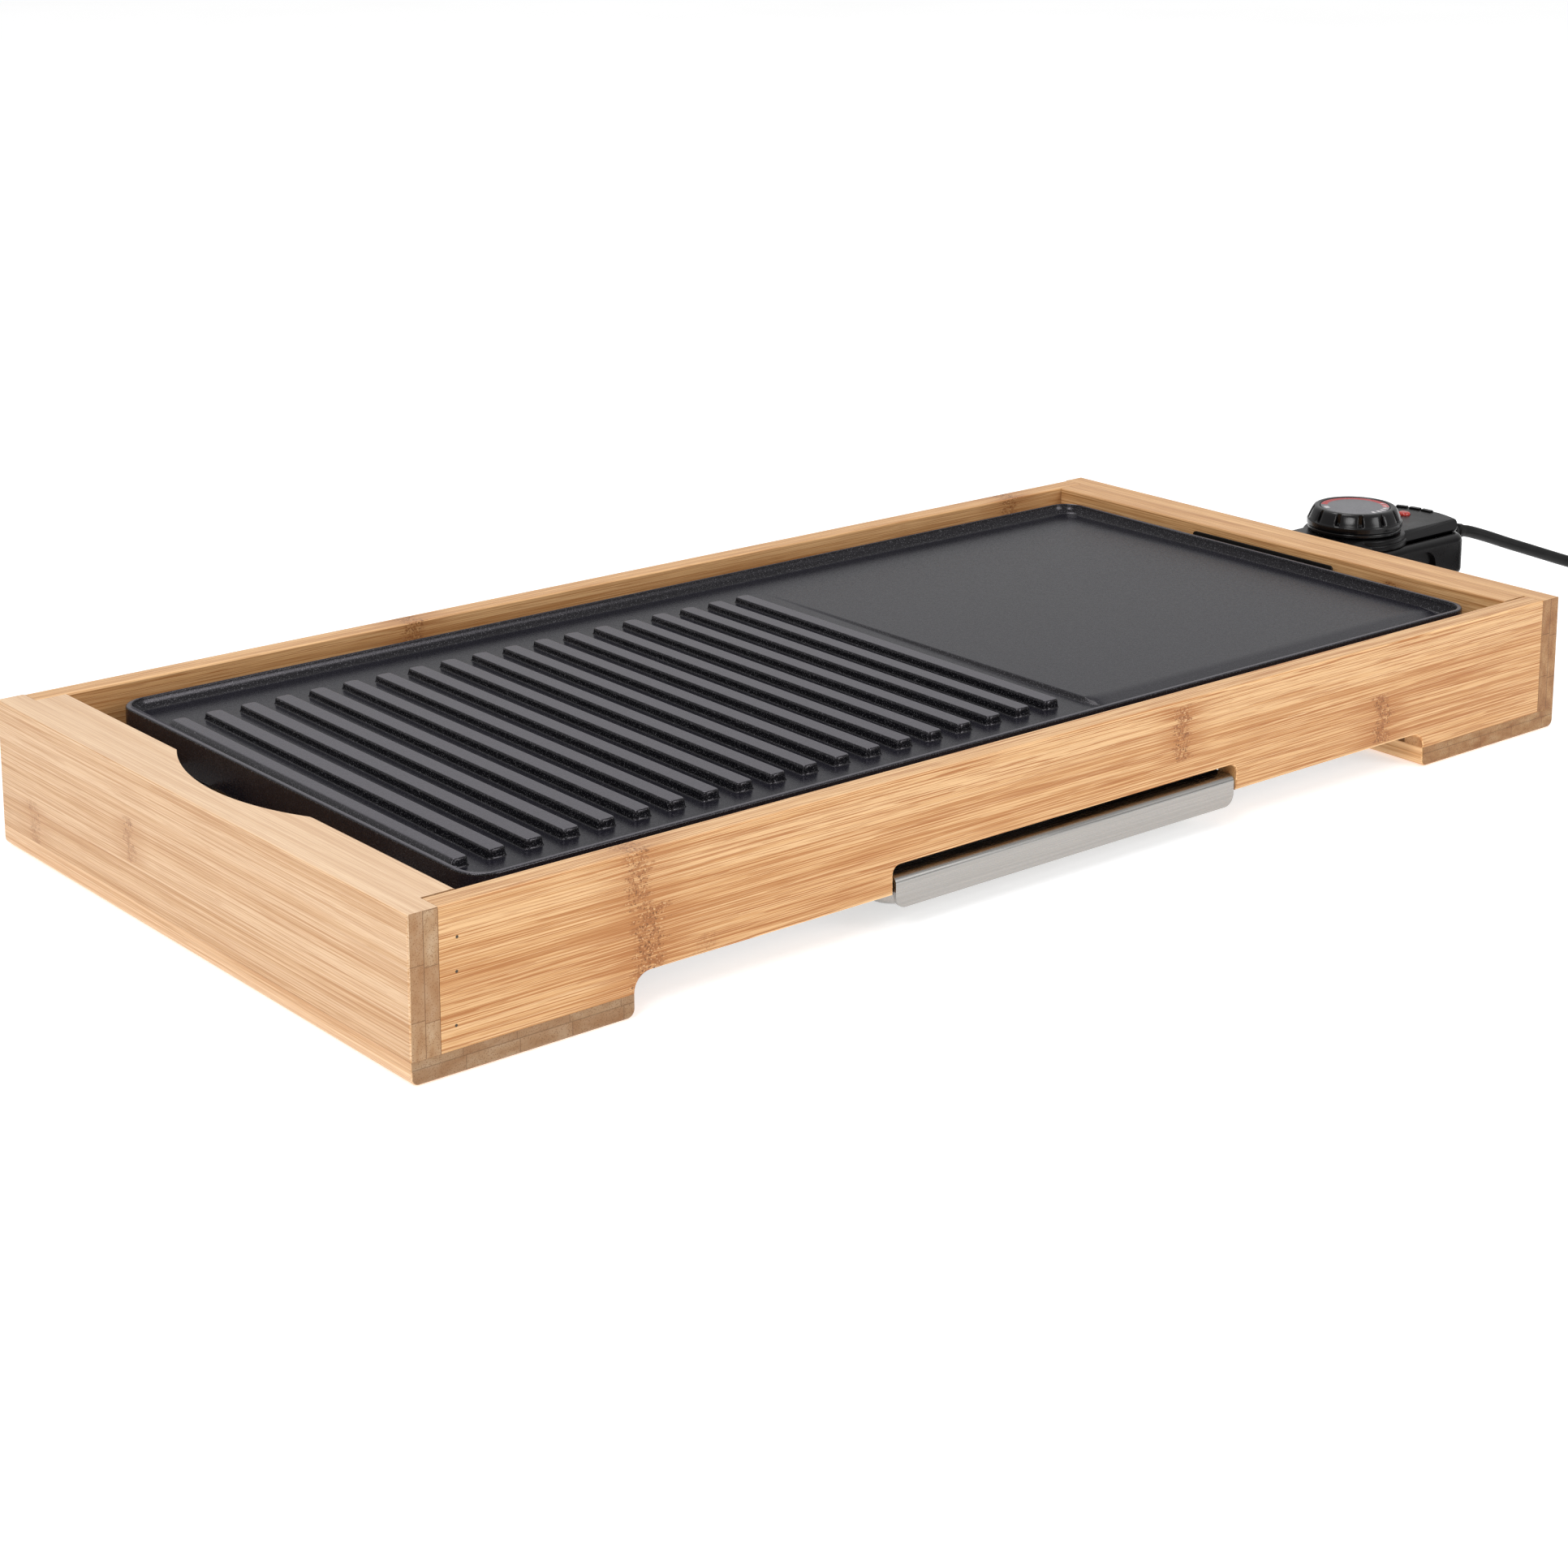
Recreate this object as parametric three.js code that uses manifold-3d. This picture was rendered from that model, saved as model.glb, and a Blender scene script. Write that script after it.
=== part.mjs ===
// Electric griddle: a cast griddle plate over a tubular heater in a bamboo surround, with a
// drip tray at the front and a plug-in thermostat at the right-hand end.
// Millimetres. +X runs along the long side towards the thermostat, +Y to the rear, +Z up.
// Parts are placed from the middle of the surround and the underside of its foot boards; the
// outer group then puts the origin on the table, midway along the griddle and its thermostat.

import * as THREE from 'three';
import { mergeVertices } from 'three/addons/utils/BufferGeometryUtils.js';
import Module from 'manifold-3d';

const wasm = await Module();
wasm.setup();

// ---------- driving dimensions ----------

const CLEARANCE = 0.3; // between separate parts that meet
const GLUE_LINE = 0.1; // between glued boards

// Bamboo surround
const FRAME_LENGTH = 560;
const FRAME_WIDTH = 277.4;
const FRAME_TOP = 55.7;
const END_THICKNESS = 23.6; // left and right boards
const SIDE_THICKNESS = 9.6; // front and rear boards
const LAP = 10.8; // end grain that shows past the front and rear boards
const FOOT_THICKNESS = 8;
const FOOT_LENGTH = 84.5;
const FOOT_ROUND = 3;
const RELIEF_TOP = 14.4; // underside of the front and rear boards between the feet
const EASED_EDGE = 0.9;
const PAD = { x: 262, y: 120, radius: 7, edge: 0.4 };
const PAD_RECESS = 2;
const PAD_PROUD = 0.5;
const SCREW_BORE = 2.1;

// Finger scoop, thermostat slot and tray notch in the boards
const SCOOP_RADIUS = 94;
const SCOOP_DEPTH = 12.2;
const SLOT = { halfWidth: 36, bottom: 24, top: 51.4, round: 2.5 };
const NOTCH = { halfWidth: 85.7, top: 24.8, round: 3 };

// Griddle plate
const PLATE = { centreX: 3.5, halfLength: 246.5, halfWidth: 118.3, corner: 11 };
const PLATE_BOTTOM = 38;
const PLATE_RIM = 52.3;
const PLATE_UNDERSIDE = 42.2; // the ceiling of the hollow under the floor
const PLATE_FLOOR = 47.2; // at the middle; it falls towards the front
const FLOOR_FALL = 0.009; // radians
const RIM_THICKNESS = 2.2;
const SKIRT_THICKNESS = 3.2;
const COVE = { reach: 4, height: 5 };
const PLATEAU = { left: 48.3, front: -104.5, top: 48.1, step: 2 };
const RIBS = {
  count: 19, pitch: 14.68, first: -231.9, front: -95, rear: 92.5, width: 8.2, top: 50.1, fall: 0.004,
};

// Heat shield and heater
const SHIELD = { halfLength: 252, halfWidth: 126, bottom: 17, thickness: 1, lip: 6 };
const TRAY_BAY = { halfWidth: 96, rear: -24 };
const SPACER_AT = { x: 232, y: 108, radius: 5.5 };
const HEATER = { radius: 3.5, z: 33.5, left: -205, right: 214, halfWidth: 82, bend: 26 };
const TERMINAL_Y = 12;
const TERMINAL_RADIUS = 2.5;
const BLOCK = { left: 233, right: 245, halfWidth: 19, top: 37.4 };
const GUARD = { left: 252.4, gauge: 1, halfWidth: 40.5, top: 52.9 };
const GUARD_WINDOW = { halfWidth: 17, bottom: 28, top: 39 };

// Ledges on the end boards that the plate rests on
const BRACKET = { gauge: 1.5, nearY: 50, farY: 78, drop: 15, underPlate: 9 };

// Drip tray
const TRAY = { halfWidth: 86.5, corner: 10, flangeHalf: 91.2, rear: -36, bottom: 8.8, top: 13.9, gauge: 0.8 };
const TRAY_FLANGE_FRONT = -122;
const TRAY_FRONT = {
  halfWidth: 84.6, bottom: 9, top: 20.6, gauge: 1.2, corner: 4.5, bend: 2.6, returnLip: 19,
};
const RAIL = { ledge: 87.2, web: 92.2, topEnd: 104, gauge: 1, front: -122, rear: -32 };

// Thermostat
const BODY = {
  left: 283, right: 371, halfWidth: 25.8, bottom: 27.5, top: 46.5, endRadius: 40, endCorner: 8,
};
const BODY_WALL = 4.5;
const NOSE = { left: 262, halfWidth: 20, top: 40, wall: 2 };
const LID = { halfWidth: 20.5, bottom: 46.8, top: 51.5, right: 370.4, endRadius: 40, endCorner: 6 };
const LID_CHAMFER = { across: 4.2, down: 3.5 }; // along its two long edges
const KNOB = { x: 315.2, skirtRadius: 21.3, bottom: 52, top: 62.6, notches: 12 };
const DIAL_RADIUS = 15.4;
const NOTCH_PHASE = 0.6; // of the step between two notches
const BOSS = { x: 350, y: 11, radius: 3.6, bore: 1.5 };
const CASE_SCREW_SEAT = 30.5;
const LENS = { x: 354.5, y: 3.5, halfLength: 2.6, halfWidth: 2.8 };
const LID_RIDGES = { inner: 36, outer: 38.3, height: 0.7, first: -3, pitch: 10, width: 8 }; // degrees
const PROBE = { radius: 2.4, tip: 205 };

// Power cord
const CORD_RADIUS = 2.8;
const TABLE = -PAD_PROUD;
const RELIEF = { base: [372.1, 0, 41.9], tip: [392.3, 0, 38.4], baseRadius: 3.9, tipRadius: 3.2 };
const CORD_ROUTE = [
  [392.6, 0, 38.3], [397.5, 0, 37.2], [405, -0.1, 34.8], [413, -0.2, 32.0], [428.5, -0.4, 26.3],
  [444.5, -0.8, 20.6], [459, -1.2, 15.4], [472, -1.8, 10.8], [484, -3.5, 6.8], [497, -7.5, 3.8],
  [507.5, -14.5, 2.8], [515, -24, 2.6], [519, -35, 2.6], [519.5, -47, 2.6], [517.6, -60, 2.6],
  [515.6, -72, 2.6],
];
const COIL = { x: 470, y: -77, inner: 24, outer: 42, height: 12.4 };
const TAIL_ROUTE = [
  [463, -122.5, 8.1], [455, -122.5, 10.2], [446, -122.5, 14], [438, -122.5, 17.1], [430.7, -122.5, 17.8],
];
const PLUG = { y: -122.5, z: 17.8, neck: 408, face: 370, radius: 17.8, pinSpread: 9.5, pinLength: 19 };

// ---------- finishes ----------

const finish = (color, roughness, metalness = 0) => (
  new THREE.MeshStandardMaterial({ color, roughness, metalness }));
const BAMBOO = 0xdcb27a;
const bamboo = () => finish(BAMBOO, 0.55);
const castCoating = () => finish(0x2b2b2e, 0.5);
const blackPlastic = () => finish(0x17171a, 0.45);
const sheetSteel = () => finish(0x8d9094, 0.4, 0.9);
const stainless = () => finish(0xb9bbbc, 0.32, 1);
const zincSteel = () => finish(0xa7a9ad, 0.35, 1);

// ---------- solids ----------

function toSolid(geometry) {
  const bare = geometry.clone();
  bare.deleteAttribute('normal');
  bare.deleteAttribute('uv');
  const merged = mergeVertices(bare, 1e-4);
  return new wasm.Manifold(new wasm.Mesh({
    numProp: 3,
    vertProperties: new Float32Array(merged.attributes.position.array),
    triVerts: new Uint32Array(merged.index.array),
  }));
}

function toGeometry(solid) {
  const mesh = solid.getMesh();
  const geometry = new THREE.BufferGeometry();
  geometry.setAttribute('position', new THREE.BufferAttribute(new Float32Array(mesh.vertProperties), 3));
  geometry.setIndex(new THREE.BufferAttribute(new Uint32Array(mesh.triVerts), 1));
  geometry.computeVertexNormals();
  return geometry;
}

function cut(geometry, ...cutters) {
  const result = cutters.reduce((solid, cutter) => solid.subtract(toSolid(cutter)), toSolid(geometry));
  return toGeometry(result);
}

function join(first, ...others) {
  const result = others.reduce((solid, other) => solid.add(toSolid(other)), toSolid(first));
  return toGeometry(result);
}

function common(first, second) {
  return toGeometry(toSolid(first).intersect(toSolid(second)));
}

// A box between two corners
function block(x0, y0, z0, x1, y1, z1) {
  return new THREE.BoxGeometry(x1 - x0, y1 - y0, z1 - z0)
    .translate((x0 + x1) / 2, (y0 + y1) / 2, (z0 + z1) / 2);
}

// A disc, bore or pin between two heights
function column(radius, z0, z1, x = 0, y = 0, sides = 24) {
  return new THREE.CylinderGeometry(radius, radius, z1 - z0, sides)
    .rotateX(Math.PI / 2)
    .translate(x, y, (z0 + z1) / 2);
}

// A rod along X
function rodX(radius, x0, x1, y, z, sides = 16) {
  return new THREE.CylinderGeometry(radius, radius, x1 - x0, sides)
    .rotateZ(Math.PI / 2)
    .translate((x0 + x1) / 2, y, z);
}

// An extrusion of the given height upwards from z, with its edges rounded by `round`
function extrudeUp(shape, z, height, round = 0, segments = 3, spread = round) {
  const options = {
    depth: height - 2 * round,
    bevelEnabled: round > 0,
    bevelThickness: round,
    bevelSize: spread,
    bevelOffset: -spread,
    bevelSegments: segments,
    curveSegments: 4,
  };
  return new THREE.ExtrudeGeometry(shape, options).translate(0, 0, z + round);
}

// Drawn across (X, Z) and extruded from y0 to y1
function extrudeAlongY(shape, y0, y1, round = 0, segments = 2) {
  const basis = new THREE.Matrix4().makeBasis(
    new THREE.Vector3(1, 0, 0), new THREE.Vector3(0, 0, 1), new THREE.Vector3(0, -1, 0));
  return extrudeUp(shape, -y1, y1 - y0, round, segments).applyMatrix4(basis);
}

// Drawn across (Y, Z) and extruded from x0 to x1
function extrudeAlongX(shape, x0, x1, round = 0, segments = 2) {
  const basis = new THREE.Matrix4().makeBasis(
    new THREE.Vector3(0, 1, 0), new THREE.Vector3(0, 0, 1), new THREE.Vector3(1, 0, 0));
  return extrudeUp(shape, x0, x1 - x0, round, segments).applyMatrix4(basis);
}

function polygon(points) {
  return new THREE.Shape(points.map(([x, y]) => new THREE.Vector2(x, y)));
}

function roundedRectangle(x0, y0, x1, y1, radius) {
  const shape = new THREE.Shape();
  shape.absarc(x1 - radius, y0 + radius, radius, -Math.PI / 2, 0, false);
  shape.absarc(x1 - radius, y1 - radius, radius, 0, Math.PI / 2, false);
  shape.absarc(x0 + radius, y1 - radius, radius, Math.PI / 2, Math.PI, false);
  shape.absarc(x0 + radius, y0 + radius, radius, Math.PI, 1.5 * Math.PI, false);
  return shape;
}

// A solid of revolution about the vertical line through (x, y); profile points are [radius, z]
function turned(profile, x = 0, y = 0, sides = 48) {
  const points = profile.map(([radius, z]) => new THREE.Vector2(radius, z));
  return new THREE.LatheGeometry(points, sides).rotateX(Math.PI / 2).translate(x, y, 0);
}

// The same, lying along X; profile points are [radius, x]
function turnedX(profile, y, z, sides = 32) {
  return turned(profile, 0, 0, sides).rotateY(Math.PI / 2).translate(0, y, z);
}

// A round tube along a curve through the points
function tube(points, radius, steps, sides) {
  const path = new THREE.CatmullRomCurve3(points.map((p) => new THREE.Vector3(...p)));
  return tubeAlong(path, radius, steps, sides);
}

function tubeAlong(path, radius, steps, sides) {
  const corners = Array.from({ length: sides }, (_, i) => (2 * Math.PI * i) / sides);
  const section = polygon(corners.map((a) => [radius * Math.cos(a), radius * Math.sin(a)]));
  return new THREE.ExtrudeGeometry(section, { steps, bevelEnabled: false, extrudePath: path });
}

const griddle = new THREE.Group();

function part(group, name, geometry, material) {
  const mesh = new THREE.Mesh(geometry, material);
  mesh.name = name;
  group.add(mesh);
}

// ---------- bamboo surround ----------

const HALF_LENGTH = FRAME_LENGTH / 2;
const HALF_WIDTH = FRAME_WIDTH / 2;
const BOARD_BOTTOM = FOOT_THICKNESS + GLUE_LINE;
const WASTE = 4; // extra stock that is trimmed off to leave square joint edges

function footBoard(side) {
  const outer = side * HALF_LENGTH;
  const inner = side * (HALF_LENGTH - FOOT_LENGTH);
  const section = roundedRectangle(
    Math.min(outer, inner), 0, Math.max(outer, inner), FOOT_THICKNESS + 2 * FOOT_ROUND, FOOT_ROUND);
  const board = extrudeAlongY(section, -HALF_WIDTH, HALF_WIDTH, EASED_EDGE);
  const above = block(-HALF_LENGTH - 1, -HALF_WIDTH - 1, FOOT_THICKNESS, HALF_LENGTH + 1, HALF_WIDTH + 1, 40);
  const holes = [-1, 1].flatMap((end) => [
    column(PAD.radius + CLEARANCE, -1, PAD_RECESS, side * PAD.x, end * PAD.y),
    column(SCREW_BORE, 3, 20, side * SPACER_AT.x, end * SPACER_AT.y, 16),
  ]);
  return cut(board, above, ...holes);
}

function footPad(side, end) {
  const { x, y, radius, edge } = PAD;
  const profile = [
    [0, -PAD_PROUD], [radius - edge, -PAD_PROUD], [radius, edge - PAD_PROUD],
    [radius, PAD_RECESS - CLEARANCE], [0, PAD_RECESS - CLEARANCE],
  ];
  return turned(profile, side * x, end * y, 16);
}

function endBoard(side) {
  const outline = polygon([
    [-HALF_WIDTH, BOARD_BOTTOM - WASTE], [HALF_WIDTH, BOARD_BOTTOM - WASTE],
    [HALF_WIDTH, FRAME_TOP], [-HALF_WIDTH, FRAME_TOP],
  ]);
  const x0 = side > 0 ? HALF_LENGTH - END_THICKNESS : -HALF_LENGTH;
  const stock = extrudeAlongX(outline, x0, x0 + END_THICKNESS, EASED_EDGE);
  const below = block(x0 - 1, -HALF_WIDTH - 1, 0, x0 + END_THICKNESS + 1, HALF_WIDTH + 1, BOARD_BOTTOM);
  const lapEdge = HALF_LENGTH - LAP;
  const rabbets = [-1, 1].map((end) => {
    const near = end * (HALF_WIDTH - SIDE_THICKNESS - GLUE_LINE);
    const far = end * (HALF_WIDTH + 1);
    const inward = HALF_LENGTH - END_THICKNESS - 1;
    return block(
      Math.min(side * lapEdge, side * inward), Math.min(near, far), 0,
      Math.max(side * lapEdge, side * inward), Math.max(near, far), FRAME_TOP + 1);
  });
  const board = cut(stock, below, ...rabbets);
  return side > 0 ? cut(board, thermostatSlot()) : cut(board, fingerScoop());
}

function fingerScoop() {
  const deepest = -HALF_LENGTH + END_THICKNESS - SCOOP_DEPTH;
  return column(SCOOP_RADIUS, 0, FRAME_TOP + 1, deepest + SCOOP_RADIUS, 0, 128);
}

function thermostatSlot() {
  const window = roundedRectangle(-SLOT.halfWidth, SLOT.bottom, SLOT.halfWidth, SLOT.top, SLOT.round);
  return extrudeAlongX(window, HALF_LENGTH - END_THICKNESS - 1, HALF_LENGTH + 1);
}

// The front or rear board: a long board relieved between the feet, with square ends
function sideBoard(end) {
  const reliefRound = RELIEF_TOP - BOARD_BOTTOM;
  const footEnd = HALF_LENGTH - FOOT_LENGTH;
  const outline = new THREE.Shape();
  outline.moveTo(-HALF_LENGTH, FRAME_TOP);
  outline.lineTo(-HALF_LENGTH, BOARD_BOTTOM - WASTE);
  outline.lineTo(-footEnd, BOARD_BOTTOM - WASTE);
  outline.absarc(-footEnd + reliefRound, BOARD_BOTTOM, reliefRound, Math.PI, Math.PI / 2, true);
  if (end < 0) {
    const { halfWidth, top, round } = NOTCH;
    outline.lineTo(-halfWidth, RELIEF_TOP);
    outline.absarc(-halfWidth + round, top - round, round, Math.PI, Math.PI / 2, true);
    outline.absarc(halfWidth - round, top - round, round, Math.PI / 2, 0, true);
    outline.lineTo(halfWidth, RELIEF_TOP);
  }
  outline.absarc(footEnd - reliefRound, BOARD_BOTTOM, reliefRound, Math.PI / 2, 0, true);
  outline.lineTo(footEnd, BOARD_BOTTOM - WASTE);
  outline.lineTo(HALF_LENGTH, BOARD_BOTTOM - WASTE);
  outline.lineTo(HALF_LENGTH, FRAME_TOP);
  const y0 = end < 0 ? -HALF_WIDTH : HALF_WIDTH - SIDE_THICKNESS;
  const stock = extrudeAlongY(outline, y0, y0 + SIDE_THICKNESS, EASED_EDGE);
  const far = HALF_LENGTH + 1;
  const square = HALF_LENGTH - LAP - GLUE_LINE;
  return cut(
    stock,
    block(-far, -HALF_WIDTH - 1, 0, far, HALF_WIDTH + 1, BOARD_BOTTOM),
    block(-far, -HALF_WIDTH - 1, 0, -square, HALF_WIDTH + 1, FRAME_TOP + 1),
    block(square, -HALF_WIDTH - 1, 0, far, HALF_WIDTH + 1, FRAME_TOP + 1));
}

const surround = new THREE.Group();
griddle.add(surround);
part(surround, 'left_end_board', endBoard(-1), bamboo());
part(surround, 'right_end_board', endBoard(1), bamboo());
part(surround, 'front_board', sideBoard(-1), bamboo());
part(surround, 'rear_board', sideBoard(1), bamboo());
for (const [sideName, side] of [['left', -1], ['right', 1]]) {
  part(surround, `${sideName}_foot_board`, footBoard(side), bamboo());
  for (const [endName, end] of [['front', -1], ['rear', 1]]) {
    part(surround, `${sideName}_${endName}_foot_pad`, footPad(side, end), finish(0x2a2a2a, 0.9));
  }
}

// ---------- heat shield, spacers and screws ----------

const SHIELD_TOP = SHIELD.bottom + SHIELD.thickness;

function heatShield() {
  const { halfLength, halfWidth, bottom, thickness, lip } = SHIELD;
  const floor = block(-halfLength, -halfWidth, bottom, halfLength, halfWidth, SHIELD_TOP);
  const lips = [-1, 1].map((end) => {
    const outer = end * halfWidth;
    const inner = end * (halfWidth - thickness);
    return block(
      -halfLength, Math.min(outer, inner), bottom, halfLength, Math.max(outer, inner), SHIELD_TOP + lip);
  });
  const bay = block(-TRAY_BAY.halfWidth, -halfWidth - 1, bottom - 1, TRAY_BAY.halfWidth, TRAY_BAY.rear, 40);
  const screwHoles = [-1, 1].flatMap((side) => [-1, 1].map((end) => (
    column(SCREW_BORE, bottom - 1, 40, side * SPACER_AT.x, end * SPACER_AT.y, 16))));
  return cut(join(floor, ...lips), bay, ...screwHoles);
}

function spacer(side, end) {
  const z0 = FOOT_THICKNESS + CLEARANCE;
  const z1 = SHIELD.bottom - CLEARANCE;
  const wall = [
    [SCREW_BORE, z0], [SPACER_AT.radius, z0], [SPACER_AT.radius, z1], [SCREW_BORE, z1], [SCREW_BORE, z0],
  ];
  return turned(wall, side * SPACER_AT.x, end * SPACER_AT.y, 16);
}

function panHeadScrew(x, y, seat, length, shank = 1.7, head = 3.6) {
  const profile = [
    [0, seat - length], [shank, seat - length + shank], [shank, seat], [head, seat],
    [head, seat + 1], [head * 0.8, seat + 1.9], [0, seat + 2.2],
  ];
  return turned(profile, x, y, 14);
}

const hardware = new THREE.Group();
griddle.add(hardware);
part(hardware, 'heat_shield', heatShield(), sheetSteel());
for (const [sideName, side] of [['left', -1], ['right', 1]]) {
  for (const [endName, end] of [['front', -1], ['rear', 1]]) {
    const corner = `${sideName}_${endName}`;
    const screw = panHeadScrew(side * SPACER_AT.x, end * SPACER_AT.y, SHIELD_TOP + CLEARANCE, 14);
    part(hardware, `${corner}_spacer`, spacer(side, end), zincSteel());
    part(hardware, `${corner}_shield_screw`, screw, zincSteel());
  }
}

// ---------- plate brackets: folded steel ledges on the end boards ----------

function plateBracket(side, end) {
  const wallX = HALF_LENGTH - END_THICKNESS - CLEARANCE;
  const plateEdge = side * PLATE.centreX + PLATE.halfLength;
  const ledgeEnd = plateEdge - BRACKET.underPlate;
  const top = PLATE_BOTTOM - CLEARANCE;
  const section = polygon([
    [wallX, top - BRACKET.drop], [wallX, top], [ledgeEnd, top], [ledgeEnd, top - BRACKET.gauge],
    [wallX - BRACKET.gauge, top - BRACKET.gauge], [wallX - BRACKET.gauge, top - BRACKET.drop],
  ].map(([x, z]) => [side * x, z]));
  const nearer = Math.min(end * BRACKET.nearY, end * BRACKET.farY);
  return extrudeAlongY(section, nearer, nearer + BRACKET.farY - BRACKET.nearY);
}

for (const [sideName, side] of [['left', -1], ['right', 1]]) {
  for (const [endName, end] of [['front', -1], ['rear', 1]]) {
    part(hardware, `${sideName}_${endName}_plate_bracket`, plateBracket(side, end), sheetSteel());
  }
}

// ---------- heater ----------

// The heater tube runs once round under the plate and comes back to the terminals
function heaterPath() {
  const { left, right, halfWidth, bend, z } = HEATER;
  const start = BLOCK.left - CLEARANCE;
  const turnIn = 9;
  const straight = (a, b) => new THREE.LineCurve3(new THREE.Vector3(...a, z), new THREE.Vector3(...b, z));
  const corner = (a, b, c) => new THREE.QuadraticBezierCurve3(
    new THREE.Vector3(...a, z), new THREE.Vector3(...b, z), new THREE.Vector3(...c, z));
  const path = new THREE.CurvePath();
  path.add(straight([start, TERMINAL_Y], [right + turnIn, TERMINAL_Y]));
  path.add(corner([right + turnIn, TERMINAL_Y], [right, TERMINAL_Y], [right, TERMINAL_Y + turnIn]));
  path.add(straight([right, TERMINAL_Y + turnIn], [right, halfWidth - bend]));
  path.add(corner([right, halfWidth - bend], [right, halfWidth], [right - bend, halfWidth]));
  path.add(straight([right - bend, halfWidth], [left + bend, halfWidth]));
  path.add(corner([left + bend, halfWidth], [left, halfWidth], [left, halfWidth - bend]));
  path.add(straight([left, halfWidth - bend], [left, bend - halfWidth]));
  path.add(corner([left, bend - halfWidth], [left, -halfWidth], [left + bend, -halfWidth]));
  path.add(straight([left + bend, -halfWidth], [right - bend, -halfWidth]));
  path.add(corner([right - bend, -halfWidth], [right, -halfWidth], [right, bend - halfWidth]));
  path.add(straight([right, bend - halfWidth], [right, -TERMINAL_Y - turnIn]));
  path.add(corner([right, -TERMINAL_Y - turnIn], [right, -TERMINAL_Y], [right + turnIn, -TERMINAL_Y]));
  path.add(straight([right + turnIn, -TERMINAL_Y], [start, -TERMINAL_Y]));
  return path;
}

// A sheet post with a hole that the heater tube passes through
function heaterPost(x, end) {
  const y = end * HEATER.halfWidth;
  const plate = polygon([
    [y - 7, SHIELD_TOP + CLEARANCE], [y + 7, SHIELD_TOP + CLEARANCE],
    [y + 7, HEATER.z + 6.5], [y - 7, HEATER.z + 6.5],
  ]);
  const hole = new THREE.Path();
  hole.absarc(y, HEATER.z, HEATER.radius + CLEARANCE, 0, 2 * Math.PI, true);
  plate.holes.push(hole);
  return extrudeAlongX(plate, x - 1, x + 1);
}

function terminalBlock() {
  const { left, right, halfWidth, top } = BLOCK;
  const face = roundedRectangle(-halfWidth, SHIELD_TOP + CLEARANCE, halfWidth, top, 2);
  const bores = [
    rodX(TERMINAL_RADIUS + CLEARANCE, left - 1, right + 1, TERMINAL_Y, HEATER.z),
    rodX(TERMINAL_RADIUS + CLEARANCE, left - 1, right + 1, -TERMINAL_Y, HEATER.z),
    rodX(PROBE.radius + 0.8, left - 1, right + 1, 0, HEATER.z),
  ];
  return cut(extrudeAlongX(face, left, right), ...bores);
}

// An upright plate behind the thermostat slot, with a window for the two pins and the probe
function terminalGuard() {
  const { left, gauge, halfWidth, top } = GUARD;
  const face = roundedRectangle(-halfWidth, SHIELD.bottom, halfWidth, top, 1.5);
  const window = roundedRectangle(
    -GUARD_WINDOW.halfWidth, GUARD_WINDOW.bottom, GUARD_WINDOW.halfWidth, GUARD_WINDOW.top, 1);
  face.holes.push(new THREE.Path(window.getPoints(2)));
  return extrudeAlongX(face, left, left + gauge);
}

part(hardware, 'terminal_guard', terminalGuard(), finish(0x1c1a19, 0.6, 0.5));
part(hardware, 'heating_element', tubeAlong(heaterPath(), HEATER.radius, 52, 8), finish(0x3a3633, 0.6, 0.6));
for (const [sideName, x] of [['left', -110], ['right', 130]]) {
  for (const [endName, end] of [['front', -1], ['rear', 1]]) {
    part(hardware, `${sideName}_${endName}_heater_post`, heaterPost(x, end), sheetSteel());
  }
}
part(hardware, 'terminal_block', terminalBlock(), finish(0xd8d2c4, 0.8));
part(hardware, 'live_pin', rodX(TERMINAL_RADIUS, BLOCK.left, 276, TERMINAL_Y, HEATER.z), zincSteel());
part(hardware, 'neutral_pin', rodX(TERMINAL_RADIUS, BLOCK.left, 276, -TERMINAL_Y, HEATER.z), zincSteel());

// ---------- drip tray and its rails ----------

// A folded rail: the tray's flange slides on its ledge, and its top flange lies on the shield
function trayRail(side) {
  const low = TRAY.top - TRAY.gauge - CLEARANCE - RAIL.gauge;
  const high = SHIELD_TOP + CLEARANCE + RAIL.gauge;
  const section = polygon([
    [RAIL.ledge, low], [RAIL.web + RAIL.gauge, low], [RAIL.web + RAIL.gauge, high - RAIL.gauge],
    [RAIL.topEnd, high - RAIL.gauge], [RAIL.topEnd, high], [RAIL.web, high],
    [RAIL.web, low + RAIL.gauge], [RAIL.ledge, low + RAIL.gauge],
  ].map(([x, z]) => [side * x, z]));
  return extrudeAlongY(section, RAIL.front, RAIL.rear);
}

function trayPan() {
  const front = -HALF_WIDTH + TRAY_FRONT.gauge + CLEARANCE;
  const { halfWidth, corner, flangeHalf, rear, bottom, top, gauge } = TRAY;
  const round = 2.6;
  const bowlRound = round - gauge;
  const body = extrudeUp(roundedRectangle(-halfWidth, front, halfWidth, rear, corner), bottom, 40, round);
  const bowl = extrudeUp(
    roundedRectangle(-halfWidth + gauge, front + gauge, halfWidth - gauge, rear - gauge, corner - gauge),
    bottom + gauge, 40, bowlRound);
  const flange = extrudeUp(
    roundedRectangle(-flangeHalf, TRAY_FLANGE_FRONT, flangeHalf, rear + 4, 5), top - gauge, gauge);
  const above = block(-100, -150, top, 100, 0, 80);
  return cut(join(body, flange), bowl, above);
}

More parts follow.
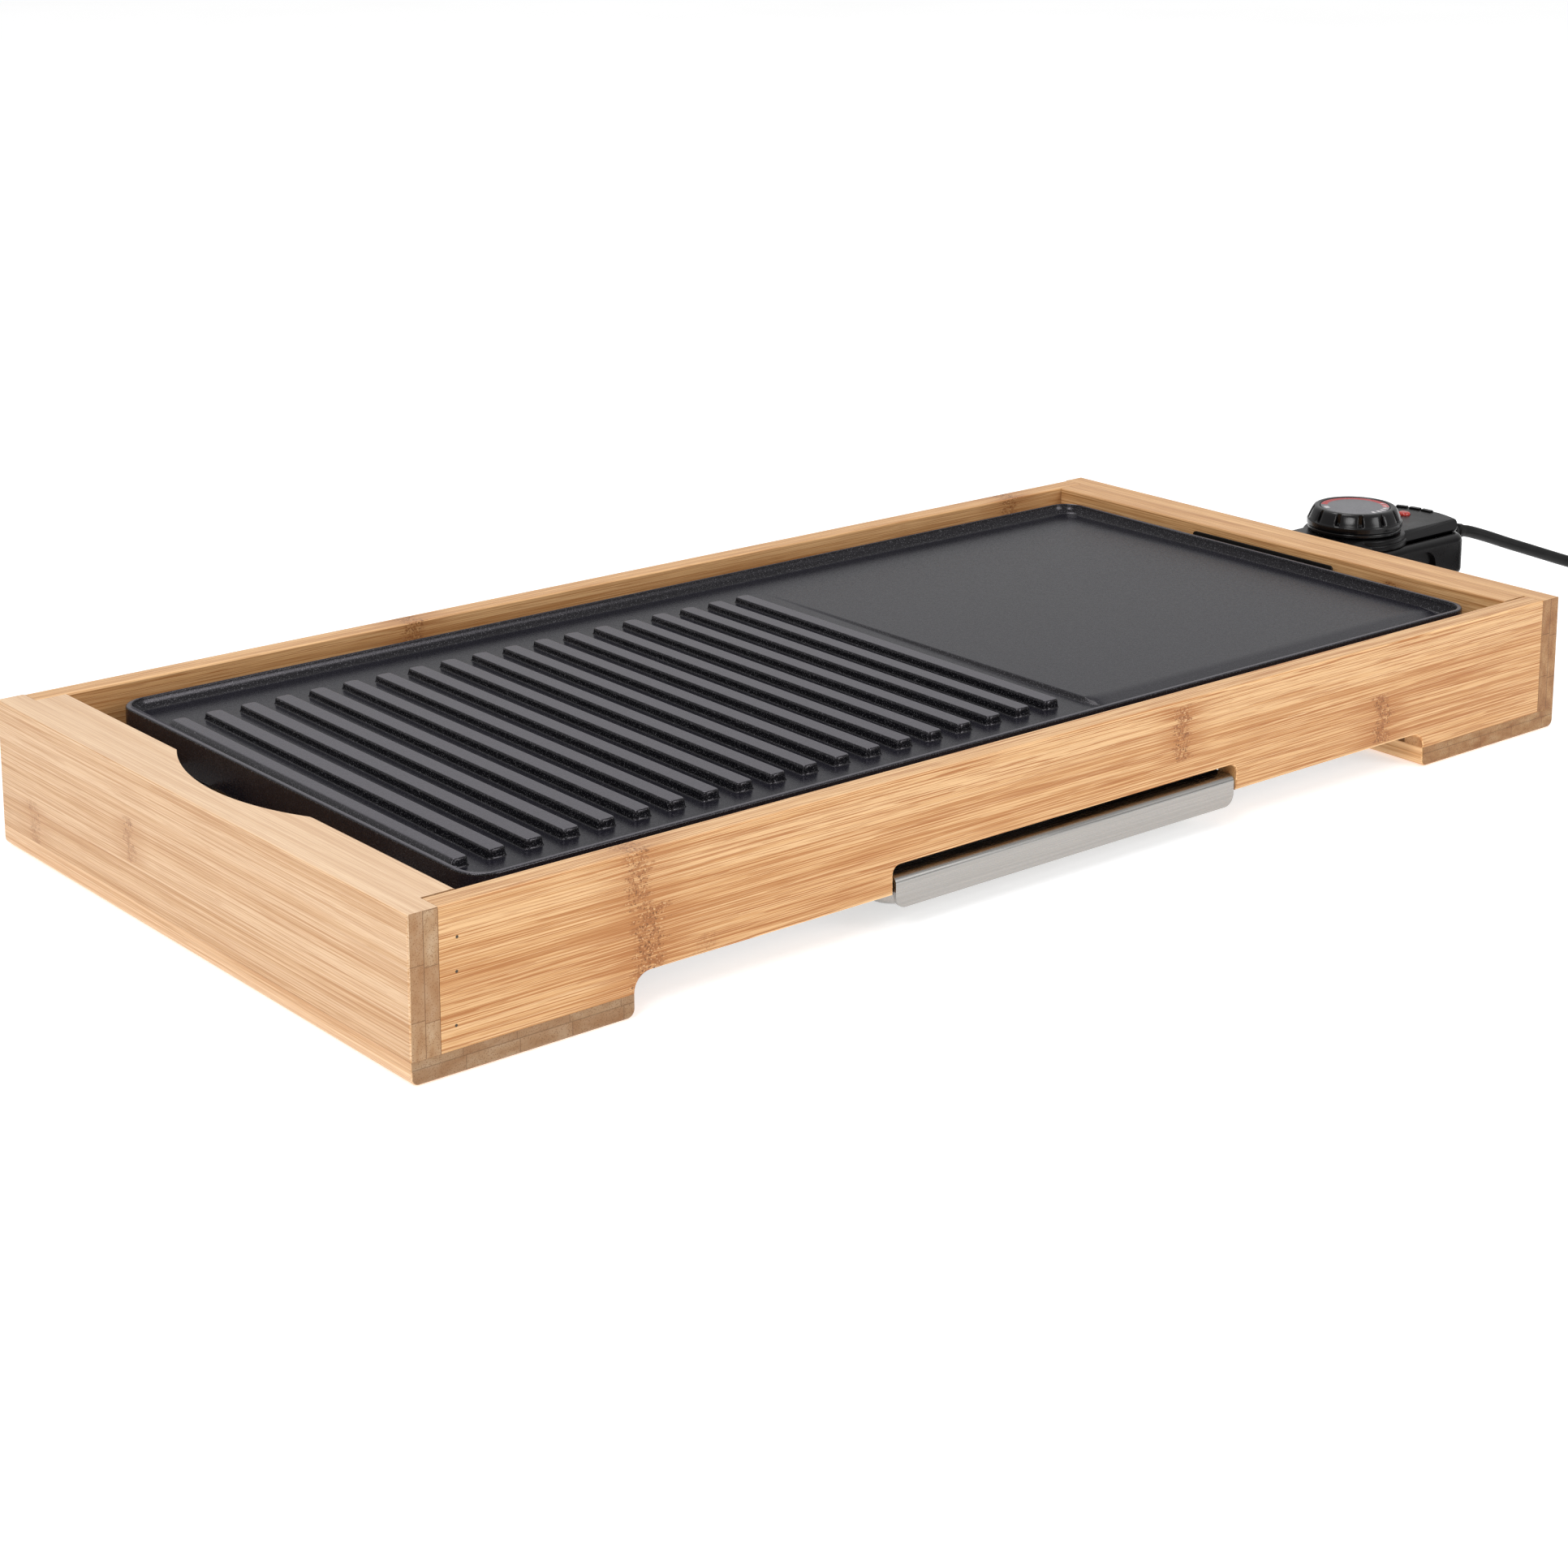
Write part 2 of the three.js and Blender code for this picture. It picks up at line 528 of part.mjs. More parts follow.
function trayFront() {
  const { halfWidth, bottom, top, gauge, corner, bend, returnLip } = TRAY_FRONT;
  const face = -HALF_WIDTH;
  const section = new THREE.Shape();
  section.moveTo(face, bottom);
  section.lineTo(face + gauge, bottom);
  section.absarc(face + bend, top - bend, bend - gauge, Math.PI, Math.PI / 2, true);
  section.lineTo(face + returnLip, top - gauge);
  section.lineTo(face + returnLip, top);
  section.absarc(face + bend, top - bend, bend, Math.PI / 2, Math.PI, false);
  const sheet = extrudeAlongX(section, -halfWidth, halfWidth);
  const outline = roundedRectangle(-halfWidth, bottom, halfWidth, top + 2 * corner, corner);
  return common(sheet, extrudeAlongY(outline, face - 1, face + returnLip + 1));
}

part(hardware, 'left_tray_rail', trayRail(-1), sheetSteel());
part(hardware, 'right_tray_rail', trayRail(1), sheetSteel());
const dripTray = new THREE.Group();
griddle.add(dripTray);
part(dripTray, 'drip_tray_pan', trayPan(), stainless());
part(dripTray, 'drip_tray_front', trayFront(), stainless());

// ---------- griddle plate ----------

function plateOutline(inset, corner) {
  const { centreX, halfLength, halfWidth } = PLATE;
  return roundedRectangle(
    centreX - halfLength + inset, -halfWidth + inset,
    centreX + halfLength - inset, halfWidth - inset, corner);
}

function rib(index) {
  const x = RIBS.first + index * RIBS.pitch;
  const outline = roundedRectangle(
    x - RIBS.width / 2, RIBS.front, x + RIBS.width / 2, RIBS.rear, 2.4);
  const core = 3.6;
  const shoulder = 3.4;
  return new THREE.ExtrudeGeometry(outline, {
    depth: core, bevelThickness: shoulder, bevelSize: 1, bevelOffset: -1, bevelSegments: 2,
    curveSegments: 1,
  }).translate(0, 0, -core - shoulder).rotateX(RIBS.fall).translate(0, 0, RIBS.top);
}

function griddlePlate() {
  const outer = extrudeUp(plateOutline(0, PLATE.corner), PLATE_BOTTOM, PLATE_RIM - PLATE_BOTTOM, 0.7, 2);
  const basinHeight = 30;
  const basin = new THREE.ExtrudeGeometry(plateOutline(RIM_THICKNESS, PLATE.corner - RIM_THICKNESS), {
    depth: basinHeight, bevelThickness: COVE.height, bevelSize: COVE.reach, bevelOffset: -COVE.reach,
    bevelSegments: 4, curveSegments: 4,
  }).translate(0, 0, PLATE_FLOOR + COVE.height);
  const tilted = basin.translate(0, 0, -PLATE_FLOOR).rotateX(FLOOR_FALL).translate(0, 0, PLATE_FLOOR);
  const hollow = extrudeUp(
    plateOutline(SKIRT_THICKNESS, PLATE.corner - SKIRT_THICKNESS),
    PLATE_BOTTOM - 1, PLATE_UNDERSIDE - PLATE_BOTTOM + 1, 0.8, 1);
  const plateauOutline = roundedRectangle(
    PLATEAU.left - PLATEAU.step, PLATEAU.front - PLATEAU.step,
    PLATE.centreX + PLATE.halfLength - 3, PLATE.halfWidth - 3, 11);
  const plateau = extrudeUp(plateauOutline, PLATEAU.top - 5, 5, 2, 1, PLATEAU.step);
  const ribs = Array.from({ length: RIBS.count }, (_, i) => rib(i));
  return cut(join(cut(outer, tilted), plateau, ...ribs), hollow);
}

const plateGroup = new THREE.Group();
griddle.add(plateGroup);
part(plateGroup, 'griddle_plate', griddlePlate(), castCoating());

// ---------- thermostat ----------

// The plan of the thermostat: straight sides, and a bowed end with round corners
function bodyPlan(left, right, halfWidth, endRadius, endCorner, corner = 4) {
  const centre = right - endRadius;
  const turn = Math.asin((halfWidth - endCorner) / (endRadius - endCorner));
  const cornerX = centre + (endRadius - endCorner) * Math.cos(turn);
  const plan = new THREE.Shape();
  plan.absarc(centre, 0, endRadius, -turn, turn, false);
  plan.absarc(cornerX, halfWidth - endCorner, endCorner, turn, Math.PI / 2, false);
  plan.absarc(left + corner, halfWidth - corner, corner, Math.PI / 2, Math.PI, false);
  plan.absarc(left + corner, -halfWidth + corner, corner, Math.PI, 1.5 * Math.PI, false);
  plan.absarc(cornerX, -halfWidth + endCorner, endCorner, -Math.PI / 2, -turn, false);
  return plan;
}

function lowerCase() {
  const { left, right, halfWidth, bottom, top, endRadius, endCorner } = BODY;
  const shoulder = 3;
  const outer = extrudeUp(
    bodyPlan(left, right, halfWidth, endRadius, endCorner), bottom, top - bottom, shoulder);
  const innerPlan = bodyPlan(
    left + BODY_WALL, right - BODY_WALL, halfWidth - BODY_WALL,
    endRadius - BODY_WALL, endCorner - BODY_WALL, 2);
  const inside = extrudeUp(innerPlan, bottom + 2.2, top);
  const nose = block(NOSE.left, -NOSE.halfWidth, bottom, left + 3, NOSE.halfWidth, NOSE.top);
  const mouth = block(
    NOSE.left - 1, -NOSE.halfWidth + NOSE.wall, bottom + NOSE.wall,
    left + BODY_WALL + 1, NOSE.halfWidth - NOSE.wall, NOSE.top - NOSE.wall);
  const grips = [-1, 1].map((end) => {
    const dent = roundedRectangle(305, bottom - 8, 342, 42.5, 7);
    const y = end * halfWidth;
    return extrudeAlongY(dent, Math.min(y, y - 2 * end), Math.max(y, y - 2 * end));
  });
  const bosses = [-1, 1].map((end) => column(BOSS.radius, bottom + 1, top - 0.2, BOSS.x, end * BOSS.y, 20));
  const bores = [-1, 1].flatMap((end) => [
    column(BOSS.bore + CLEARANCE, bottom - 1, top + 1, BOSS.x, end * BOSS.y, 16),
    column(2.9, bottom - 1, CASE_SCREW_SEAT, BOSS.x, end * BOSS.y, 20),
  ]);
  return cut(join(cut(join(outer, nose), inside, mouth), ...bosses), ...grips, ...bores);
}

// A finger ridge along the round end of the lid
function lidRidge(index) {
  const { inner, outer, height, first, pitch, width } = LID_RIDGES;
  const start = THREE.MathUtils.degToRad(first + pitch * index);
  const end = start + THREE.MathUtils.degToRad(width);
  const outline = new THREE.Shape();
  outline.absarc(0, 0, outer, start, end, false);
  outline.absarc(0, 0, inner, end, start, true);
  const ridge = new THREE.ExtrudeGeometry(outline, {
    depth: 1 + height, bevelEnabled: false, curveSegments: 5,
  });
  return ridge.translate(LID.right - LID.endRadius, 0, LID.top - 1);
}

function lid() {
  const collarSteps = [
    [0, LID.bottom], [23.8, LID.bottom], [23.8, 48.6], [23.3, 49.1], [22.9, 49.1], [22.9, 50.8],
    [22.3, LID.top], [0, LID.top],
  ];
  const collar = turned(collarSteps, KNOB.x, 0, 48);
  const { halfWidth, bottom, top, right, endRadius, endCorner } = LID;
  const wall = 3;
  const slab = extrudeUp(bodyPlan(289, right, halfWidth, endRadius, endCorner), bottom, top - bottom, 1.1);
  const ridgeHalf = halfWidth - LID_CHAMFER.across;
  const crown = polygon([
    [-halfWidth, bottom - 1], [halfWidth, bottom - 1], [halfWidth, top - LID_CHAMFER.down],
    [ridgeHalf, top + 0.1], [-ridgeHalf, top + 0.1], [-halfWidth, top - LID_CHAMFER.down],
  ]);
  const tail = common(slab, extrudeAlongX(crown, 280, 380));
  const hollowPlan = bodyPlan(293, right - 4.4, halfWidth - wall, endRadius - wall, endCorner - wall);
  const hollow = extrudeUp(hollowPlan, bottom - 1, 3.4);
  const bosses = [-1, 1].map((end) => (
    column(BOSS.radius, LID.bottom + 0.1, LID.top - 1, BOSS.x, end * BOSS.y, 20)));
  const bores = [-1, 1].map((end) => (
    column(BOSS.bore + CLEARANCE, LID.bottom - 1, 50, BOSS.x, end * BOSS.y, 16)));
  const grips = Array.from({ length: 3 }, (_, i) => lidRidge(i));
  const shaftHole = column(3.3, LID.bottom - 1, LID.top + 1, KNOB.x, 0);
  const lensHole = extrudeUp(lensOutline(CLEARANCE), LID.bottom - 1, 8);
  return cut(join(cut(join(collar, tail), hollow), ...bosses, ...grips), shaftHole, lensHole, ...bores);
}

function lensOutline(grow) {
  const { x, y, halfLength, halfWidth } = LENS;
  return roundedRectangle(
    x - halfLength - grow, y - halfWidth - grow, x + halfLength + grow, y + halfWidth + grow, 2.4 + grow);
}

function knob() {
  const { x, skirtRadius, bottom, top, notches } = KNOB;
  const shoulder = 57;
  const seam = 54;
  const neck = skirtRadius - 0.4;
  const profile = [
    [0, bottom], [neck, bottom], [neck, seam - 0.3], [neck - 0.5, seam], [skirtRadius - 0.3, seam + 0.1],
    [skirtRadius, seam + 0.5], [skirtRadius - 0.1, shoulder], [18.7, top - 1.1], [18.2, top - 0.4],
    [17.4, top], [DIAL_RADIUS + 0.3, top], [DIAL_RADIUS + 0.3, top - 0.9], [0, top - 0.9],
  ];
  const slots = Array.from({ length: notches }, (_, i) => (
    block(18, -0.8, shoulder, 26, 0.8, top + 1)
      .rotateZ((2 * Math.PI * (i + NOTCH_PHASE)) / notches)
      .translate(x, 0, 0)));
  const socket = column(3.1, bottom - 1, 60.2, x, 0, 24);
  return cut(turned(profile, x, 0, 48), socket, ...slots);
}

function strainRelief() {
  const base = new THREE.Vector3(...RELIEF.base);
  const tip = new THREE.Vector3(...RELIEF.tip);
  const length = base.distanceTo(tip);
  const profile = [[0, 0], [RELIEF.baseRadius, 0]];
  const ribCount = 4;
  const taper = (t) => RELIEF.baseRadius + (RELIEF.tipRadius - RELIEF.baseRadius) * t;
  for (let i = 0; i < ribCount; i += 1) {
    const start = (0.2 + 0.18 * i) * length;
    const radius = taper(start / length);
    profile.push(
      [radius, start], [radius - 0.7, start + 0.4],
      [radius - 0.7, start + 1.6], [radius, start + 2]);
  }
  profile.push([RELIEF.tipRadius, length], [0, length]);
  const pitch = Math.atan2(base.z - tip.z, tip.x - base.x);
  return turnedX(profile, 0, 0, 12).rotateY(pitch).translate(base.x, base.y, base.z);
}

const thermostat = new THREE.Group();
griddle.add(thermostat);
part(thermostat, 'thermostat_lower_case', lowerCase(), blackPlastic());
part(thermostat, 'thermostat_lid', lid(), blackPlastic());
part(thermostat, 'indicator_lens', extrudeUp(lensOutline(0), 49.8, 3, 0.9, 2), finish(0xc4231c, 0.25));
part(thermostat, 'thermostat_switch', block(300, -10, 30.2, 327, 10, 44.2), finish(0x4b3a2c, 0.8));
part(thermostat, 'temperature_probe', rodX(PROBE.radius, PROBE.tip, 299.6, 0, HEATER.z), zincSteel());
for (const [name, y] of [['live_socket', TERMINAL_Y], ['neutral_socket', -TERMINAL_Y]]) {
  const bore = TERMINAL_RADIUS + CLEARANCE;
  const wall = [[bore, 264], [bore + 0.9, 264], [bore + 0.9, 286], [bore, 286], [bore, 264]];
  part(thermostat, name, turnedX(wall, y, HEATER.z, 16), finish(0xc9a24a, 0.35, 1));
}
for (const [name, end] of [['front_case_screw', -1], ['rear_case_screw', 1]]) {
  const screw = panHeadScrew(0, 0, 0, 18.5, BOSS.bore, 2.5)
    .rotateX(Math.PI)
    .translate(BOSS.x, end * BOSS.y, CASE_SCREW_SEAT - CLEARANCE);
  part(thermostat, name, screw, zincSteel());
}
part(thermostat, 'strain_relief', strainRelief(), finish(0x161616, 0.6));

const knobGroup = new THREE.Group();
thermostat.add(knobGroup);
part(knobGroup, 'control_knob', knob(), blackPlastic());
part(knobGroup, 'dial_disc', column(DIAL_RADIUS, 61.9, 62.45, KNOB.x, 0, 48), finish(0x8f9092, 0.45, 0.4));
part(knobGroup, 'knob_shaft', column(2.8, 44.6, 59.9, KNOB.x, 0, 20), zincSteel());

// ---------- power cord ----------

function cordCoil() {
  const { x, y, inner, outer, height } = COIL;
  const round = 2;
  const z0 = TABLE + CLEARANCE;
  const z1 = z0 + height;
  const section = [
    [inner + round, z0], [outer - round, z0], [outer, z0 + round], [outer, z1 - round],
    [outer - round, z1], [inner + round, z1], [inner, z1 - round], [inner, z0 + round], [inner + round, z0],
  ];
  return turned(section, x, y, 28);
}

// A round two-pin plug lying on its side, drawn along -X from its cable end
function plugBody() {
  const { neck, face, radius } = PLUG;
  const cableEnd = TAIL_ROUTE[TAIL_ROUTE.length - 1][0] - 2 * CLEARANCE;
  const profile = [
    [0, face], [radius - 1, face], [radius, face + 1], [radius, face + 15], [radius - 3, face + 19],
    [radius - 6.5, face + 27], [8, neck - 4], [6.6, neck], [CORD_RADIUS + 1, cableEnd], [0, cableEnd],
  ];
  return turnedX(profile, PLUG.y, PLUG.z, 24);
}

const cord = new THREE.Group();
thermostat.add(cord);
part(cord, 'power_cord', tube(CORD_ROUTE, CORD_RADIUS, 14, 8), finish(0x141414, 0.5));
part(cord, 'cord_coil', cordCoil(), finish(0x141414, 0.5));
part(cord, 'cord_tail', tube(TAIL_ROUTE, CORD_RADIUS, 4, 8), finish(0x141414, 0.5));
part(cord, 'plug_body', plugBody(), finish(0x141414, 0.5));
for (const [name, side] of [['plug_pin_live', -1], ['plug_pin_neutral', 1]]) {
  const tip = PLUG.face - CLEARANCE - PLUG.pinLength;
  const pin = rodX(2.4, tip, PLUG.face - CLEARANCE, PLUG.y + side * PLUG.pinSpread, PLUG.z);
  part(cord, name, pin, finish(0xb8b8b8, 0.3, 1));
}

griddle.position.set((HALF_LENGTH - BODY.right) / 2, 0, PAD_PROUD);

export default griddle;
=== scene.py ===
"""Looks for the electric griddle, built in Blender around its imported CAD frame."""

import math

import bmesh
import bpy
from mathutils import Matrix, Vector


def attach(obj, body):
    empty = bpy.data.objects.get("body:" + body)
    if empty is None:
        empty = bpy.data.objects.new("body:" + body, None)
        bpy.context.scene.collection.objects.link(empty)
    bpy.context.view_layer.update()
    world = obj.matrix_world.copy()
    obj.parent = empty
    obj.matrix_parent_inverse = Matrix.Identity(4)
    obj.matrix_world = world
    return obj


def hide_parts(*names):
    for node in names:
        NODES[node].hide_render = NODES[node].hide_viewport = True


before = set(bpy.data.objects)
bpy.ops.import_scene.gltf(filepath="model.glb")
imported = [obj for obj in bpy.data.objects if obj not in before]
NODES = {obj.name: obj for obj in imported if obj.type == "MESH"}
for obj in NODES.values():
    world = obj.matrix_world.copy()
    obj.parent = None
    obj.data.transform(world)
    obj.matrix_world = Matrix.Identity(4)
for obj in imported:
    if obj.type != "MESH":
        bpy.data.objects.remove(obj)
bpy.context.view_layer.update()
SCENE = bpy.context.scene
MM = 0.001
TO_MM = 1000.0
ORIGIN = Vector((-45.5, 0.0, 0.5))  # where the middle of the surround, under its feet, lies in the row frame


def at(x, y, z):
    """A point given in millimetres from the middle of the surround, in the row frame."""
    return (Vector((x, y, z)) + ORIGIN) * MM


# ---------- camera ----------

CAMERA_PLACE = Vector((-0.78792, -0.87736, 0.39436))
CAMERA_AZIMUTH = math.radians(39.4735)  # from the row's +Y towards its +X
CAMERA_FALL = math.radians(12.3786)
CAMERA_LENS = 70.4266
CAMERA_SHIFT = -0.22598

camera_data = bpy.data.cameras.new("camera")
camera_data.sensor_width = 36.0
camera_data.lens = CAMERA_LENS
camera_data.shift_y = CAMERA_SHIFT
camera_data.clip_start = 0.02
camera_data.clip_end = 60.0
camera = bpy.data.objects.new("camera", camera_data)
SCENE.collection.objects.link(camera)
looking = Vector((
    math.sin(CAMERA_AZIMUTH) * math.cos(CAMERA_FALL),
    math.cos(CAMERA_AZIMUTH) * math.cos(CAMERA_FALL),
    -math.sin(CAMERA_FALL),
))
camera.location = CAMERA_PLACE
camera.rotation_mode = "QUATERNION"
camera.rotation_quaternion = looking.to_track_quat("-Z", "Y")
SCENE.camera = camera


# ---------- shader helper ----------

class Shader:
    """A material's node tree, written as short calls. A value is a number, a tuple or another node's output."""

    SOCKETS = {
        "base": "Base Color", "roughness": "Roughness", "metallic": "Metallic", "normal": "Normal",
        "specular": "Specular IOR Level", "tint": "Specular Tint", "coat": "Coat Weight",
        "coat_roughness": "Coat Roughness", "emission": "Emission Color", "glow": "Emission Strength",
    }

    def __init__(self, name, **sockets):
        self.material = bpy.data.materials.new(name)
        self.material.use_nodes = True
        self.tree = self.material.node_tree
        self.tree.nodes.clear()
        self.bsdf = self.tree.nodes.new("ShaderNodeBsdfPrincipled")
        output = self.tree.nodes.new("ShaderNodeOutputMaterial")
        self.tree.links.new(self.bsdf.outputs[0], output.inputs[0])
        self.set(**sockets)

    def put(self, socket, value):
        if isinstance(value, bpy.types.NodeSocket):
            self.tree.links.new(value, socket)
        else:
            socket.default_value = value

    def set(self, **sockets):
        for key, value in sockets.items():
            self.put(self.bsdf.inputs[self.SOCKETS[key]], value)

    def node(self, kind, inputs=(), **settings):
        made = self.tree.nodes.new("ShaderNode" + kind)
        for key, value in settings.items():
            setattr(made, key, value)
        for key, value in dict(inputs).items():
            self.put(made.inputs[key], value)
        return made

    def coordinates(self, output="Object"):
        return self.node("TexCoord").outputs[output]

    def math(self, operation, a, b=0.0):
        return self.node("Math", {0: a, 1: b}, operation=operation).outputs[0]

    def split(self, vector):
        return self.node("SeparateXYZ", {0: vector}).outputs

    def join(self, x, y, z):
        return self.node("CombineXYZ", {0: x, 1: y, 2: z}).outputs[0]

    def noise(self, vector, scale=1.0, detail=2.0, roughness=0.5):
        settings = {"Vector": vector, "Scale": scale, "Detail": detail, "Roughness": roughness}
        return self.node("TexNoise", settings).outputs[0]

    def cells(self, vector, scale):
        return self.node("TexVoronoi", {"Vector": vector, "Scale": scale}).outputs["Distance"]

    def random(self, value):
        return self.node("TexWhiteNoise", {"W": value}, noise_dimensions="1D").outputs["Value"]

    def ease(self, value, low, high, start=0.0, end=1.0):
        """From start to end as value goes from low to high, with soft ends. low may be above high."""
        if low > high:
            low, high, start, end = high, low, end, start
        return self.node("MapRange", {
            "Value": value, "From Min": low, "From Max": high, "To Min": start, "To Max": end,
        }, interpolation_type="SMOOTHSTEP").outputs[0]

    def ramp(self, value, stops):
        made = self.node("ValToRGB", {0: value})
        points = made.color_ramp.elements
        while len(points) < len(stops):
            points.new(0.5)
        for point, (place, color) in zip(points, stops):
            point.position = place
            point.color = (*color, 1.0)
        return made.outputs[0]

    def mix(self, share, a, b, blend="MIX"):
        factor_in, color_a_in, color_b_in, color_out = 0, 6, 7, 2
        made = self.node("Mix", data_type="RGBA", blend_type=blend)
        self.put(made.inputs[factor_in], share)
        for socket, value in ((made.inputs[color_a_in], a), (made.inputs[color_b_in], b)):
            self.put(socket, (*value, 1.0) if isinstance(value, tuple) else value)
        return made.outputs[color_out]

    def bump(self, height, distance, strength=1.0):
        made = self.node("Bump", {"Height": height, "Distance": distance, "Strength": strength})
        return made.outputs[0]


def scaled(color, share):
    return tuple(c * share for c in color)


# ---------- materials ----------
# Noise and colour stops are given. A pair such as 0.3, 0.7 is the span of a noise's values.

PLY_OFFSET = 1.1  # how far the staves of one ply are shifted against the next
BRAD_RADIUS = 0.5


def bamboo(name, grain, stave, ply, shades, seed, stave_width=19.0, ply_width=5.4, ply_start=0.0, knuckles=(),
           end_share=0.8, end_contrast=1.0, painted_top_light=0.12, streaks=0.7, brads=()):
    """Laminated bamboo. grain, stave and ply are the axes along the fibres, across the staves and through the
    plies. shades are its dark, middle and light colours. knuckles are (along, low, high, half width, depth) and
    brads are (along, across). All places are in millimetres in the row's frame."""
    s = Shader(name, specular=0.35)
    axes = {axis: s.math("MULTIPLY", value, TO_MM) for axis, value in zip("xyz", s.split(s.coordinates()))}
    normals = dict(zip("xyz", s.split(s.coordinates("Normal"))))
    along, across, deep = axes[grain], axes[stave], axes[ply]
    ply_place = s.math("DIVIDE", s.math("SUBTRACT", deep, ply_start), ply_width)
    ply_index = s.math("FLOOR", ply_place)
    shifted = s.math("ADD", across, s.math("MULTIPLY", ply_index, PLY_OFFSET))
    stave_place = s.math("ADD", s.math("DIVIDE", shifted, stave_width), seed)
    stave_index = s.math("FLOOR", stave_place)
    stave_tone = s.random(s.math("ADD", stave_index, s.math("MULTIPLY", ply_index, 17.0)))
    seed_shift = s.math("ADD", s.math("MULTIPLY", stave_index, 31.7), seed * 57.0)

    def stretched(k_along, k_across, offset=0.0):
        """A place whose noise has about k_along cycles per millimetre along the fibres and k_across across them."""
        return s.join(
            s.math("ADD", s.math("MULTIPLY", along, k_along), s.math("ADD", seed_shift, offset)),
            s.math("MULTIPLY", across, k_across), s.math("MULTIPLY", deep, k_across))

    fibres = s.noise(stretched(0.005, 1.75), detail=2.0, roughness=0.55)
    middling = s.noise(stretched(0.012, 3.0, 33.0), detail=1.0)
    bands = s.noise(stretched(0.0012, 0.22, 9.0), detail=1.0)
    clusters = s.noise(stretched(0.004, 0.5, 80.0), detail=1.0)
    dashes = s.noise(stretched(0.028, 2.8, 40.0), detail=0.5)
    fine_dashes = s.noise(stretched(0.08, 4.4, 23.0), detail=0.0)
    long_lines = s.noise(stretched(0.005, 3.0, 61.0), detail=0.0)

    knuckle = None
    near = None
    for place, low, high, half, depth in knuckles:
        wander = s.math("MULTIPLY", s.math("SUBTRACT", s.noise(s.join(across, place, deep), 0.12, 1.0), 0.5), 7.0)
        jag = s.math("MULTIPLY", s.math("SUBTRACT", s.noise(s.join(across, deep, place), 1.3, 1.0), 0.5), half * 2.2)
        wander = s.math("ADD", wander, jag)
        away = s.math("ABSOLUTE", s.math("ADD", s.math("SUBTRACT", along, place), wander))
        inside = s.math("MULTIPLY", s.ease(across, low - 0.6, low + 0.6), s.ease(across, high + 0.6, high - 0.6))
        core = s.math("MULTIPLY", s.ease(away, half, half * 0.45), s.math("MULTIPLY", inside, depth))
        tail = s.math("MULTIPLY", s.ease(away, half * 4.0, half * 0.6), s.math("MULTIPLY", inside, depth))
        knuckle = core if knuckle is None else s.math("MAXIMUM", knuckle, core)
        near = tail if near is None else s.math("MAXIMUM", near, tail)

    level = s.math("ADD", s.math("MULTIPLY", fibres, 0.46), s.math("MULTIPLY", middling, 0.26))
    level = s.math("ADD", level, s.math("MULTIPLY", bands, 0.28))
    level = s.math("ADD", level, s.math("MULTIPLY", s.math("SUBTRACT", stave_tone, 0.5), 0.06))
    dark, middle, light = shades
    color = s.ramp(level, [(0.40, dark), (0.49, middle), (0.585, light)])
    share = s.math("MULTIPLY", s.ease(dashes, 0.57, 0.62), s.ease(clusters, 0.36, 0.56, 0.45, 0.95))
    share = s.math("MAXIMUM", share, s.math("MULTIPLY", s.ease(long_lines, 0.60, 0.67), 0.8))
    share = s.math("MAXIMUM", share, s.math("MULTIPLY", s.ease(fine_dashes, 0.63, 0.69), 0.6))
    dark_red, dark_green, dark_blue = dark
    color = s.mix(s.math("MULTIPLY", share, streaks), color, (dark_red * 0.78, dark_green * 0.60, dark_blue * 0.42))
    color = s.mix(s.math("MULTIPLY", s.ease(dashes, 0.42, 0.36), 0.6 * streaks), color, scaled(light, 1.06))
    height = s.math("SUBTRACT", s.math("MULTIPLY", fibres, 0.5), s.math("MULTIPLY", share, 0.5))
    if knuckle is not None:
        blotch = s.noise(s.join(s.math("MULTIPLY", along, 0.50), s.math("MULTIPLY", across, 0.55), deep),
                         1.0, 3.0, 0.6)
        specks = s.noise(s.join(s.math("MULTIPLY", along, 1.5), s.math("MULTIPLY", across, 1.2), deep), 1.0, 1.0)
        lines = s.math("MULTIPLY", near, s.ease(middling, 0.44, 0.56))
        color = s.mix(lines, color, (dark_red * 0.80, dark_green * 0.64, dark_blue * 0.48))
        brown = (dark_red * 0.62, dark_green * 0.46, dark_blue * 0.36)
        color = s.mix(s.math("MULTIPLY", knuckle, s.ease(blotch, 0.42, 0.60, 0.05, 0.95)), color, brown)
        color = s.mix(s.math("MULTIPLY", knuckle, s.ease(specks, 0.64, 0.72)), color, scaled(light, 0.86))
        color = s.mix(s.math("MULTIPLY", knuckle, s.ease(specks, 0.41, 0.35)), color, scaled(brown, 0.45))
        height = s.math("ADD", height, s.math("MULTIPLY", knuckle, s.math("SUBTRACT", blotch, 0.5)))

